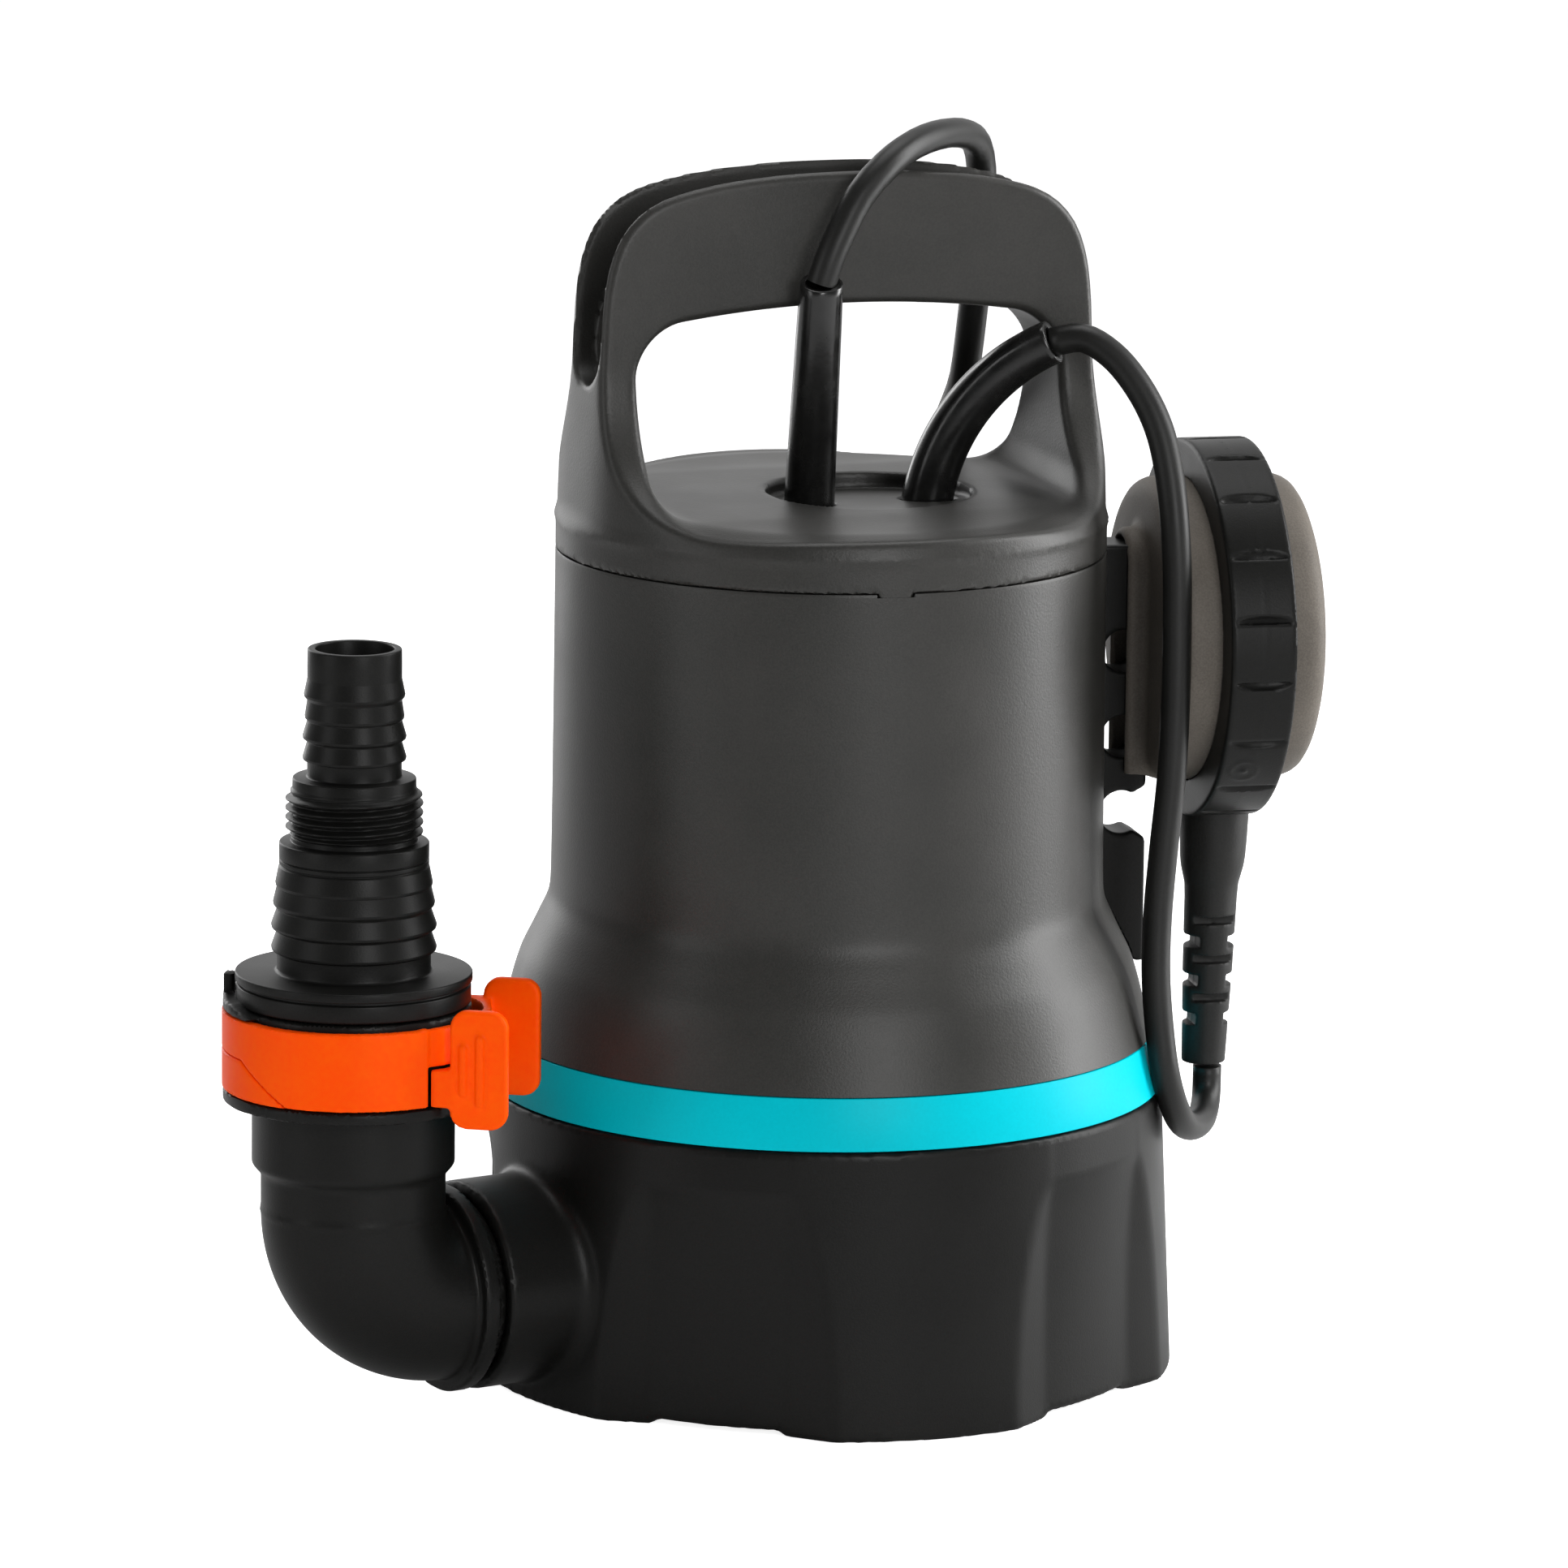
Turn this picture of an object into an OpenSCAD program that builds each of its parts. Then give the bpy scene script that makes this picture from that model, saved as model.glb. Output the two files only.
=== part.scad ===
// Submersible sump pump with a float switch, an outlet elbow and a stepped hose nozzle.
// Millimetres, +Z up. The origin is the centre of the foot circle on the floor, under the
// motor shaft. The carrying handle spans the X axis.

/* [Foot and base] */
// Radius of the foot circle on the floor
foot_r = 87.5; // [86:0.5:92]
// Radius of the base where it meets the trim band
base_top_r = 84.05; // [82:0.05:85.5]
// Height of the base up to the trim band
base_h = 71.4; // [69:0.2:76]
// Wall of the base and of its ribs
base_wall = 3; // [2.4:0.1:3.6]
// Number of flat panels pressed into the base
panel_count = 5; // [3:1:7]
// Depth of a panel at the floor
panel_depth = 4.6; // [2:0.1:5]
// Half the angle that a panel covers at the floor
panel_half_foot = 16; // [10:0.5:20]
// Half the angle that a panel covers at its top
panel_half_top = 11; // [6:0.5:16]
// Height of a panel
panel_h = 58; // [40:1:62]
// Direction of the first panel
panel_turn = 16; // [0:1:71]
// Gap under the panels where water flows in
inlet_gap = 1.6; // [1:0.1:3]

/* [Trim band and motor housing] */
// Height of the trim band
band_h = 13.1; // [9:0.1:16]
// How much narrower the trim band is at its top
band_taper = 2.95; // [1.6:0.05:3.5]
// Fine line left open at each edge of the band and at the lid seam
seam_gap = 0.25; // [0.1:0.05:0.5]
// Radius of the motor housing at the lid seam
housing_r = 68; // [67:0.2:70]
// Wall of the motor housing
housing_wall = 2.8; // [2.2:0.1:3]
// Height of the lid seam above the floor
seam_z = 205.4; // [204:0.2:212]
// Height where the bell of the housing begins
bell_z = 120; // [112:1:126]
// How much narrower the soft shoulder on the bell is than the trim band's top
shoulder_in = 4.2; // [2.6:0.1:6]
// Height of the soft shoulder on the bell
shoulder_z = 102; // [98:0.5:106]
// Wall of the spigot that centres the housing on the base
spigot_wall = 2.8; // [2.2:0.1:3.2]

/* [Lid and handle] */
// Height of the deck
deck_z = 218; // [216:0.2:224]
// Thickness of the deck
deck_t = 4; // [3:0.2:5]
// Width of the slope around the deck
deck_slope_w = 6; // [3:0.5:8]
// Height of the slope around the deck
deck_slope_h = 4.8; // [3:0.2:6]
// Height of the handle's top
handle_top_z = 300; // [292:1:312]
// Half the thickness of the handle, front to back
handle_half_t = 12.3; // [10:0.1:15]
// Half the width of the hand opening
window_half_w = 54.8; // [48:0.2:56]
// Height of the hand opening's upper edge
window_top_z = 267.2; // [255:0.2:272]
// Depth of the channel in the handle's back, on top
channel_depth = 21; // [8:1:24]
// Half the width of the channel in the handle's back
channel_half_w = 9.8; // [6:0.2:10.4]
// Height where the channel runs out on each side
channel_end_z = 248; // [240:1:262]
// Width of the locating tab on the lid
tab_w = 8; // [5:0.5:12]
// Direction of the locating tab
tab_turn = 263.5; // [240:0.5:290]

/* [Cable sleeves and cords] */
// Place of the mains sleeve across the deck
mains_hole_x = -6.8; // [-12:0.2:0]
// Place of the float sleeve across the deck
float_hole_x = 24.3; // [18:0.2:28]
// Place of both sleeves, front to back
hole_y = -2.5; // [-6:0.5:2]
// Radius of a sleeve where it leaves the deck
sleeve_r = 6.4; // [5.4:0.1:7]
// Radius of a sleeve at its cut end
sleeve_tip_r = 5.2; // [4.4:0.1:5.6]
// Clearance around a sleeve in the deck
sleeve_gap = 0.3; // [0.1:0.05:0.6]
// Bend radius of the float sleeve
float_sleeve_bend = 55; // [45:1:65]
// Diameter of the mains cord
mains_d = 7.4; // [6.5:0.1:8]
// Diameter of the float cord
float_d = 7.2; // [6.5:0.1:8]
// Turns in the stored coil of mains cord
coil_turns = 24; // [12:1:24]
// Middle radius of the stored coil
coil_mid_r = 60.1; // [56:0.1:61]
// Distance between neighbouring turns of the coil
coil_pitch = 7.9; // [7.9:0.05:8.4]
// Distance from the pump to the middle of the coil
coil_away = 176.5; // [176.5:0.5:200]
// Thickness of the strap that ties the coil
tie_t = 0.6; // [0.4:0.1:1.4]
// Width of the strap that ties the coil
tie_w = 12; // [8:1:20]

/* [Outlet, elbow and clip] */
// Direction of the outlet
outlet_turn = 192; // [180:1:200]
// Height of the outlet's axis
outlet_z = 30.4; // [30.4:0.2:34]
// Radius of the outlet collar
collar_r = 25.65; // [24:0.05:26.5]
// Distance from the shaft to the collar's face
collar_end = 104.3; // [101:0.1:107]
// Radius of the water way
way_r = 19; // [15:0.5:19.4]
// Gap between the collar and the elbow's flange
elbow_gap = 2.8; // [1.5:0.1:4]
// Thickness of the elbow's flange
flange_t = 4; // [3:0.2:6]
// Radius of the elbow pipe
pipe_r = 22.4; // [22:0.1:23.5]
// Bend radius of the elbow, at the middle of the pipe
elbow_bend = 23; // [22.8:0.2:26]
// Straight pipe between the flange and the bend
elbow_lead = 0.2; // [0.1:0.1:6]
// Height of the ledge under the clip
ledge_z = 83.9; // [79:0.1:86]
// Thickness of that ledge
ledge_t = 3; // [2:0.1:5]
// Radius of the ledge under the clip
ledge_r = 31.6; // [31:0.1:33]
// Radius of the socket wall behind the clip
socket_r = 28.5; // [27.5:0.1:29]
// Height of the clip ring
clip_h = 19; // [16:0.2:22]
// Outer radius of the clip ring
clip_r = 31.8; // [31:0.1:33]
// Clearance between the clip ring and the socket wall
clip_gap = 0.3; // [0.2:0.05:0.5]
// How far a finger tab lies from the nozzle's axis
tab_reach = 35.2; // [35:0.1:40]
// Half the distance between the two finger tabs
tab_spread = 19; // [17:0.5:24]
// Width of a finger tab
finger_w = 14; // [10:0.5:16]
// Height of a finger tab
finger_h = 29; // [22:0.5:32]
// Direction from the nozzle's axis to the finger tabs
clip_turn = 330; // [310:1:350]

/* [Hose nozzle] */
// Height of the flange that closes the socket
nozzle_flange_z = 110.3; // [109:0.1:112]
// Radius of that flange
nozzle_flange_r = 28.7; // [28.6:0.1:32]
// Radius of the wide hose barbs
wide_barb_r = 20; // [19.5:0.1:21]
// Radius of the narrow hose barbs
narrow_barb_r = 12.5; // [12.2:0.05:13.2]
// Thickness of that flange
nozzle_flange_t = 2.3; // [1.6:0.1:3]
// Outer radius of the pipe thread
thread_r = 16.62; // [16:0.01:17.5]
// Distance between two turns of the thread
thread_pitch = 2.309; // [2:0.001:2.5]
// Top of the nozzle
nozzle_top_z = 191.5; // [189:0.5:196]
// Wall of the nozzle's narrow end
nozzle_wall = 2.1; // [1.6:0.1:2.6]

/* [Float switch] */
// Direction of the rail and the float
float_turn = 353.5; // [350:0.5:358]
// Clearance between the float and the rail
float_gap = 1; // [0.9:0.1:5]
// Height of the float's middle
float_z = 181.6; // [180:0.2:186]
// Outer radius of the float's grip ring
ring_r = 46.3; // [45:0.1:48]
// Width of the grip ring
ring_w = 16.7; // [15.5:0.1:18]
// Number of grip notches
notch_count = 18; // [12:1:24]
// Distance from the float's middle to the back of the channel for the rail
float_half_t = 18.4; // [17.6:0.1:18.4]
// Depth of each cap from the float's middle
cap_depth = 20; // [19.8:0.1:22.6]
// Radius of the float's caps
cap_r = 37.8; // [36.5:0.1:38]
// Wall of the float's caps
cap_wall = 2.2; // [1.6:0.1:2.4]
// Radius of the switch ball
ball_r = 7; // [5.5:0.1:7.2]
// Free travel of the switch ball
ball_travel = 22; // [12:0.5:24]
// Lower end of the float's cable gland
gland_end_z = 70; // [68:0.5:74]

/* [Float rail] */
// How far the rail stands out from the housing
rail_reach = 11.7; // [10.5:0.1:11.9]
// Thickness of the rail
rail_t = 13; // [9:0.5:14]
// Upper end of the rail
rail_top_z = 203; // [200:0.5:204]
// Lower end of the rail
rail_low_z = 99; // [97:0.5:104]
// Radius of the cord holes in the rail
rail_hole_r = 4.6; // [4:0.1:4.9]

/* [Pump] */
// Radius of the impeller
impeller_r = 39; // [30:0.5:42]
// Height of the impeller's blades
blade_h = 11.5; // [6:0.5:13]
// Number of blades
blade_count = 6; // [4:1:8]
// Inner radius of the volute
volute_r = 46; // [45.5:0.5:48]
// Radius of the inlet eye
eye_r = 15; // [12:0.5:17]
// Height of the plate between pump and motor
plate_z = 52; // [52:0.2:54]
// Thickness of that plate
plate_t = 4; // [3:0.2:4.4]
// Number of inlet slots in one ring of the strainer
slot_count = 24; // [12:1:30]

/* [Motor] */
// Clear width between the motor can's bore and the housing's bore
can_clear = 13.2; // [12.6:0.1:13.7]
// Wall of the motor can
can_wall = 1; // [0.8:0.1:1.5]
// Height of the motor can's head above the upper bracket
can_head_h = 19.4; // [18.9:0.1:21.4]
// Radius of the rotor
rotor_r = 26; // [22:0.1:27]
// Air gap between rotor and stator
air_gap = 0.4; // [0.3:0.05:0.8]
// Height of the stator's lamination stack
stack_h = 50; // [40:1:52]
// Height where the stack begins
stack_z = 92; // [91.5:0.5:93]
// Number of stator slots
stator_slots = 12; // [8:1:14]
// Radius of the shaft in its bearings
shaft_r = 5; // [4.5:0.1:5.5]
// Outer radius of a bearing
bearing_r = 15; // [13:0.5:16]
// Width of a bearing
bearing_w = 9; // [7:0.5:9.5]
// Running clearance of the shaft in seal and bearings
shaft_gap = 0.05; // [0.02:0.01:0.09]
// Radius of the capacitor
capacitor_r = 14; // [11:0.5:15]
// Length of the capacitor
capacitor_l = 50; // [40:1:56]

/* [Hidden] */
$fn = 96;
fit = 0.1;
eps = 0.01;

plastic_grey = "#4a4a47";
plastic_black = "#262626";
rubber = "#1b1b1b";
steel = "#b8bcc0";

// ---- shared helpers -------------------------------------------------------------------

module ring(outer, inner, h) {
    difference() {
        cylinder(r = outer, h = h);
        translate([0, 0, -1]) cylinder(r = inner, h = h + 2);
    }
}

// Turns a shape drawn along +X to a direction seen from above.
module toward(angle, away = 0, z = 0) {
    rotate([0, 0, angle]) translate([away, 0, z]) children();
}

// A cylinder along +X.
module lying(r, from, to) {
    translate([from, 0, 0]) rotate([0, 90, 0]) cylinder(r = r, h = to - from);
}

// A screw that points down, with its head's underside at the origin.
module screw(shank_r, length, head_r, head_h) {
    cylinder(r = head_r, h = head_h);
    translate([0, 0, -length]) cylinder(r = shank_r, h = length + eps);
}

// Points of an arc, in degrees.
function arc(cx, cy, r, from, to, steps = 8) =
    [for (i = [0:steps]) let (a = from + (to - from) * i / steps) [cx + r * cos(a), cy + r * sin(a)]];

// Unit vector, and the direction of a path at point i.
function unit(v) = v / norm(v);
function heading(path, i) =
    unit(path[min(i + 1, len(path) - 1)] - path[max(i - 1, 0)]);
// A sideways vector carried along the path without twist.
function carried(v, t) = unit(v - t * (v * t));
function sideways(path, i, v) =
    i == 0 ? [carried(v, heading(path, 0))]
           : let (before = sideways(path, i - 1, v))
             concat(before, [carried(before[i - 1], heading(path, i))]);
function tube_points(path, r, sides, side) =
    [for (i = [0:len(path) - 1]) let (t = heading(path, i), u = side[i], w = cross(t, u))
        for (k = [0:sides - 1]) let (a = 360 * k / sides) path[i] + r * (cos(a) * u + sin(a) * w)];
function tube_faces(n, sides) = concat(
    [for (i = [0:n - 2], k = [0:sides - 1]) let (a = i * sides + k, b = i * sides + (k + 1) % sides)
        each [[a, a + sides, b], [b, a + sides, b + sides]]],
    [for (k = [1:sides - 2]) [0, k, k + 1]],
    [for (k = [1:sides - 2]) let (e = (n - 1) * sides) [e, e + k + 1, e + k]]);
module tube(path, r, sides, side) {
    polyhedron(tube_points(path, r, sides, side), tube_faces(len(path), sides), convexity = 10);
}

// ---- derived sizes --------------------------------------------------------------------

band_z = base_h;
band_top_r = base_top_r - band_taper;
shoulder_r = band_top_r - shoulder_in;
rail_r = housing_r + rail_reach;
float_away = rail_r + float_gap + float_half_t;
housing_z = base_h + band_h;
spigot_r = base_top_r - 6.25;
spigot_top = housing_z + 3.5;
bore_r = spigot_r + 0.2;
housing_bore = housing_r - housing_wall;
can_r = housing_bore - can_clear;
plate_top = plate_z + plate_t;
floor_clear = 1.8;
strainer_t = 2.5;
strainer_z = floor_clear;
mid_foot_r = 9;
strainer_r = foot_r - base_wall - panel_depth - 0.8;
volute_wall = 3;
tube_wall = 1.9;
volute_z = 9.5;
cover_t = 3;
boss_angles = [70, 142, 290];
boss_away = 66;
boss_r = 4.2;
lug_angles = [20, 120, 250];
lug_away = volute_r + volute_wall + 3.6;
bolt_angles = [25, 115, 245, 335];
bolt_r = 2.5;
lid_boss_r = 4.2;
bolt_away = housing_bore - 0.9 - lid_boss_r;
carrier_away = 40;
carrier_angles = [0, 90, 180, 270];

function base_r(z) = foot_r + (base_top_r - foot_r) * z / base_h;

// Outline of the housing, outside, from the band up to the lid seam.
housing_outline = [[band_top_r, housing_z], [shoulder_r + 1.3, shoulder_z - 5],
    [shoulder_r, shoulder_z], [shoulder_r - 2.4, shoulder_z + 4.6],
    [housing_r + 3, bell_z - 7], [housing_r + 1.2, bell_z - 3.6], [housing_r + 0.6, bell_z],
    [housing_r, seam_z - seam_gap]];

// ---- base -----------------------------------------------------------------------------

module panel_cut(angle) {
    half_foot = foot_r * tan(panel_half_foot);
    half_top = base_top_r * tan(panel_half_top);
    inner_foot = foot_r - panel_depth;
    inner_top = base_r(panel_h);
    toward(angle) difference() {
        translate([foot_r - 12, 0, 0]) rotate([90, 0, 90]) linear_extrude(20)
            polygon([[-half_foot, -1], [half_foot, -1], [half_foot, 0], [half_top, panel_h],
                [-half_top, panel_h], [-half_foot, 0]]);
        translate([0, 0, -2]) cylinder(r1 = inner_foot - 0.05, r2 = inner_top, h = panel_h + 2);
    }
    toward(angle) translate([foot_r - 14, -half_foot + 3, -1])
        cube([20, 2 * half_foot - 6, inlet_gap + 1]);
}

module pump_base() color(plastic_black) difference() {
    union() {
        difference() {
            cylinder(r1 = foot_r, r2 = base_top_r, h = base_h - seam_gap);
            for (i = [0:panel_count - 1]) panel_cut(panel_turn + i * 360 / panel_count);
            // hollow below the plate
            translate([0, 0, -1])
                cylinder(r1 = foot_r - base_wall - panel_depth, r2 = base_top_r - base_wall - 1.6,
                    h = plate_z + 1);
            // hollow above the plate, between the spigot and the outer wall
            translate([0, 0, plate_top]) ring(base_top_r - base_wall, spigot_r, base_h - plate_top - 3);
            translate([0, 0, plate_top]) cylinder(r = spigot_r - spigot_wall, h = base_h);
        }
        // spigot for the band and the housing
        translate([0, 0, plate_top - 1]) ring(spigot_r, spigot_r - spigot_wall, spigot_top - plate_top + 1);
        // volute wall and the seat of the shaft seal
        translate([0, 0, volute_z]) ring(volute_r + volute_wall, volute_r, plate_z - volute_z + 1);
        translate([0, 0, seal_z - 0.5]) cylinder(r = seal_r + 4, h = plate_z - seal_z + 1);
        // outlet tube and collar
        toward(outlet_turn, 0, outlet_z) {
            lying(way_r + tube_wall, volute_r + 1, foot_r);
            lying(collar_r, foot_r - base_wall - panel_depth - 2, collar_end);
        }
        for (a = boss_angles) toward(a, boss_away, strainer_z + strainer_t + fit)
            cylinder(r = boss_r, h = plate_z - strainer_z - strainer_t);
        for (a = lug_angles) toward(a, lug_away, volute_z) cylinder(r = boss_r, h = 24);
    }
    // water way
    toward(outlet_turn, 0, outlet_z) {
        lying(way_r, volute_r - 6, collar_end + 1);
        lying(elbow_spigot_r + fit, collar_end - elbow_spigot_l - 0.6, collar_end + 1);
    }
    // seal bore, shaft and bolts through the plate
    translate([0, 0, seal_z]) cylinder(r = seal_r + fit, h = 20);
    translate([0, 0, seal_z - 4]) cylinder(r = seal_r - 3, h = 10);
    for (a = bolt_angles) toward(a, bolt_away, plate_z - 1) cylinder(r = bolt_r + 0.2, h = plate_t + 2);
    for (a = carrier_angles) toward(a, carrier_away, plate_z + 0.5) cylinder(r = 2.05, h = plate_t + 1);
    for (a = boss_angles) toward(a, boss_away, 0) cylinder(r = 1.55, h = 20);
    for (a = lug_angles) toward(a, lug_away, 0) cylinder(r = 1.55, h = 22);
    // groove of the base seal
    translate([0, 0, spigot_top - 2.8]) ring(spigot_r + 1, spigot_r - 1.8, 2.2);
    // the motor side of the plate is open to the spigot's bore
    translate([0, 0, plate_top]) cylinder(r = 20, h = 30);
}

module suction_strainer() color(plastic_black) difference() {
    union() {
        translate([0, 0, strainer_z]) cylinder(r = strainer_r, h = strainer_t);
        // foot that keeps the plate from bowing
        cylinder(r = mid_foot_r, h = strainer_z + 1);
    }
    for (row = [0:2]) for (i = [0:slot_count - 1])
        toward(i * 360 / slot_count + row * 180 / slot_count, 26 + row * 11, strainer_z - 1)
            translate([0, -1.4, 0]) cube([8, 2.8, strainer_t + 2]);
    for (a = boss_angles) toward(a, boss_away, 0) cylinder(r = 1.8, h = 10);
}

module strainer_screws() color(steel)
    for (a = boss_angles) toward(a, boss_away, strainer_z) mirror([0, 0, 1]) screw(1.5, 14, 3.2, 1.4);

module volute_cover() color(plastic_black) {
    difference() {
        union() {
            translate([0, 0, volute_z - cover_t - fit]) cylinder(r = volute_r + volute_wall, h = cover_t);
            for (a = lug_angles) toward(a, lug_away, volute_z - cover_t - fit) cylinder(r = boss_r, h = cover_t);
            translate([0, 0, volute_z - 1]) ring(volute_r - 0.2, volute_r - 2.4, 3);
            // collar around the impeller's inlet
            translate([0, 0, volute_z - 1]) cylinder(r = eye_r + 6, h = impeller_z - volute_z);
        }
        translate([0, 0, -1]) cylinder(r = eye_r + 3.4, h = 40);
        for (a = lug_angles) toward(a, lug_away, 0) cylinder(r = 1.8, h = 14);
    }
}

module cover_screws() color(steel)
    for (a = lug_angles) toward(a, lug_away, volute_z - cover_t - fit)
        mirror([0, 0, 1]) screw(1.5, 14, 3.2, 1.5);

// ---- pump and motor -------------------------------------------------------------------

impeller_z = 20;
shroud_t = 2.5;
blade_z = impeller_z + shroud_t;
back_z = blade_z + blade_h;
back_t = 3;
hub_r = 8;
hub_top = 46;
nut_z = blade_z + 0.5;
nut_h = 5;
shaft_end_r = shaft_r - 1;
seal_r = 13;
seal_z = 47;
carrier_z = plate_top + 0.2;
carrier_t = 6;
hub_outer = bearing_r + 4;
lower_bearing_z = carrier_z + carrier_t + 2.4;
core_bore_r = 8;
upper_bracket_z = stack_z + stack_h + 16.6;
upper_bearing_z = upper_bracket_z + 4.4;
can_top_z = upper_bracket_z + can_head_h;
shaft_top = upper_bearing_z + bearing_w + 1;

module blade() {
    // a backward-curved blade, one arc of constant thickness
    lead = 30;
    intersection() {
        translate([lead / 2 + 2, lead / 2 - 2, blade_z - 0.2]) ring(lead, lead - 2.4, blade_h + 0.4);
        translate([0, 0, blade_z - 1]) ring(impeller_r - 0.5, eye_r - 1, blade_h + 2);
        translate([0, -60, blade_z - 1]) cube([60, 60, blade_h + 2]);
    }
}

module impeller() color("#3a3a3a") difference() {
    union() {
        translate([0, 0, impeller_z]) ring(impeller_r, eye_r, shroud_t);
        translate([0, 0, volute_z + 2]) ring(eye_r + 2.8, eye_r, impeller_z - volute_z - 1.9);
        translate([0, 0, back_z]) cylinder(r = impeller_r, h = back_t);
        translate([0, 0, nut_z + nut_h + 0.2]) cylinder(r = hub_r, h = hub_top - nut_z - nut_h - 0.2);
        for (i = [0:blade_count - 1]) rotate([0, 0, i * 360 / blade_count]) blade();
    }
    translate([0, 0, -1]) cylinder(r = shaft_end_r + 0.02, h = 80);
}

module impeller_nut() color(steel) difference() {
    translate([0, 0, nut_z]) cylinder(r = 7.4, h = nut_h, $fn = 6);
    translate([0, 0, nut_z - 1]) cylinder(r = shaft_end_r + 0.02, h = nut_h + 2);
}

module motor_shaft() color(steel) {
    translate([0, 0, nut_z - 1]) cylinder(r = shaft_end_r, h = hub_top - nut_z + 1.1);
    translate([0, 0, hub_top + 0.1]) cylinder(r = shaft_r, h = shaft_top - hub_top - 0.1);
    translate([0, 0, lower_bearing_z + bearing_w + 0.3])
        cylinder(r = core_bore_r - 0.02, h = upper_bearing_z - lower_bearing_z - bearing_w - 0.6);
}

module shaft_seal() color(rubber) {
    translate([0, 0, seal_z + fit]) ring(seal_r, shaft_r + shaft_gap + 2.4, plate_top - seal_z - fit);
    translate([0, 0, seal_z + 3]) ring(shaft_r + shaft_gap + 3, shaft_r + shaft_gap, 3);
}

module bearing_carrier() color("silver") difference() {
    union() {
        translate([0, 0, carrier_z]) cylinder(r = can_r - 0.2, h = carrier_t);
        translate([0, 0, carrier_z]) cylinder(r = hub_outer, h = lower_bearing_z + bearing_w + 1.4 - carrier_z);
    }
    translate([0, 0, lower_bearing_z - fit]) cylinder(r = bearing_r + 0.05, h = 30);
    translate([0, 0, carrier_z - 1]) cylinder(r = shaft_r + 2, h = 30);
    for (a = carrier_angles) toward(a, carrier_away, 0) cylinder(r = 2.3, h = 100);
    translate([0, 0, carrier_z + 1.9]) ring(can_r + 2, can_r - 2.15, 2.2);
}

module carrier_screws() color(steel)
    for (a = carrier_angles) toward(a, carrier_away, carrier_z + carrier_t) screw(2, 9.2, 3.6, 2.6);

module can_seal() color(rubber) translate([0, 0, carrier_z + 3])
    rotate_extrude() translate([can_r - 1.1, 0]) circle(r = 1, $fn = 24);

module bearing(z) translate([0, 0, z]) {
    ring(bearing_r, bearing_r - 2.6, bearing_w);
    ring(shaft_r + 3, shaft_r + shaft_gap, bearing_w);
    translate([0, 0, 1]) ring(bearing_r - 2, shaft_r + 2.5, bearing_w - 2);
}

module lower_bearing() color(steel) bearing(lower_bearing_z);

module upper_bearing() color(steel) bearing(upper_bearing_z);

module motor_can() color("#c9ccce") difference() {
    union() {
        translate([0, 0, plate_top + fit]) cylinder(r = can_r + can_wall, h = can_top_z - plate_top - fit);
        translate([0, 0, plate_top + fit]) cylinder(r = can_r + 4, h = 1.2);
    }
    translate([0, 0, plate_top - 1]) cylinder(r = can_r, h = can_top_z - plate_top - can_wall + 1);
}

slot_in = rotor_r + air_gap + 4;
slot_out = slot_in + 12;
module slot_bar(from, to, width, z, h)
    translate([from, -width / 2, z]) cube([to - from, width, h]);

module stator_core() color("#6f7377") difference() {
    translate([0, 0, stack_z]) ring(can_r - 0.1, rotor_r + air_gap, stack_h);
    for (i = [0:stator_slots - 1]) toward(i * 360 / stator_slots) {
        slot_bar(slot_in, slot_out, 7, stack_z - 1, stack_h + 2);
        slot_bar(rotor_r - 1, slot_in + 1, 2.4, stack_z - 1, stack_h + 2);
    }
}

module stator_windings() color("#a8582a") {
    for (z = [stack_z - 13, stack_z + stack_h + 0.3]) translate([0, 0, z])
        rotate_extrude() translate([slot_in + 0.3, 0])
            polygon([[1, 0], [13, 0], [14, 2], [14, 10], [12, 12.7], [2, 12.7], [0, 10.7], [0, 2]]);
    for (i = [0:stator_slots - 1]) toward(i * 360 / stator_slots)
        slot_bar(slot_in + 0.4, slot_out - 0.3, 6.4, stack_z - 0.4, stack_h + 0.8);
}

module rotor_core() color("#8f9296") difference() {
    union() {
        translate([0, 0, stack_z]) cylinder(r = rotor_r, h = stack_h);
        translate([0, 0, stack_z - 4]) cylinder(r = rotor_r - 1.2, h = stack_h + 8);
    }
    translate([0, 0, stack_z - 6]) cylinder(r = core_bore_r, h = stack_h + 12);
    for (z = [stack_z - 5, stack_z + stack_h + 1]) translate([0, 0, z]) cylinder(r = rotor_r - 9, h = 4);
}

module bearing_bracket() color("silver") difference() {
    union() {
        translate([0, 0, upper_bracket_z]) cylinder(r = can_r - 0.2, h = 3);
        translate([0, 0, upper_bracket_z]) cylinder(r = hub_outer, h = 4 + bearing_w + 1);
    }
    translate([0, 0, upper_bearing_z - fit]) cylinder(r = bearing_r + 0.05, h = 30);
    translate([0, 0, upper_bracket_z - 1]) cylinder(r = core_bore_r + 1, h = 30);
}

capacitor_y = 22;
capacitor_z = can_top_z + 2.2 + capacitor_r;
module capacitor_saddle() color(plastic_black) difference() {
    translate([-18, capacitor_y - 12, can_top_z + fit]) cube([36, 24, 6]);
    translate([0, capacitor_y, capacitor_z]) lying(capacitor_r + 0.2, -40, 40);
}

module run_capacitor() color("#d8d5c8") translate([0, capacitor_y, capacitor_z]) {
    lying(capacitor_r, -capacitor_l / 2, capacitor_l / 2);
    for (y = [-4, 4]) translate([0, y, 0]) lying(1, capacitor_l / 2 - 1, capacitor_l / 2 + 5);
}

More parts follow.
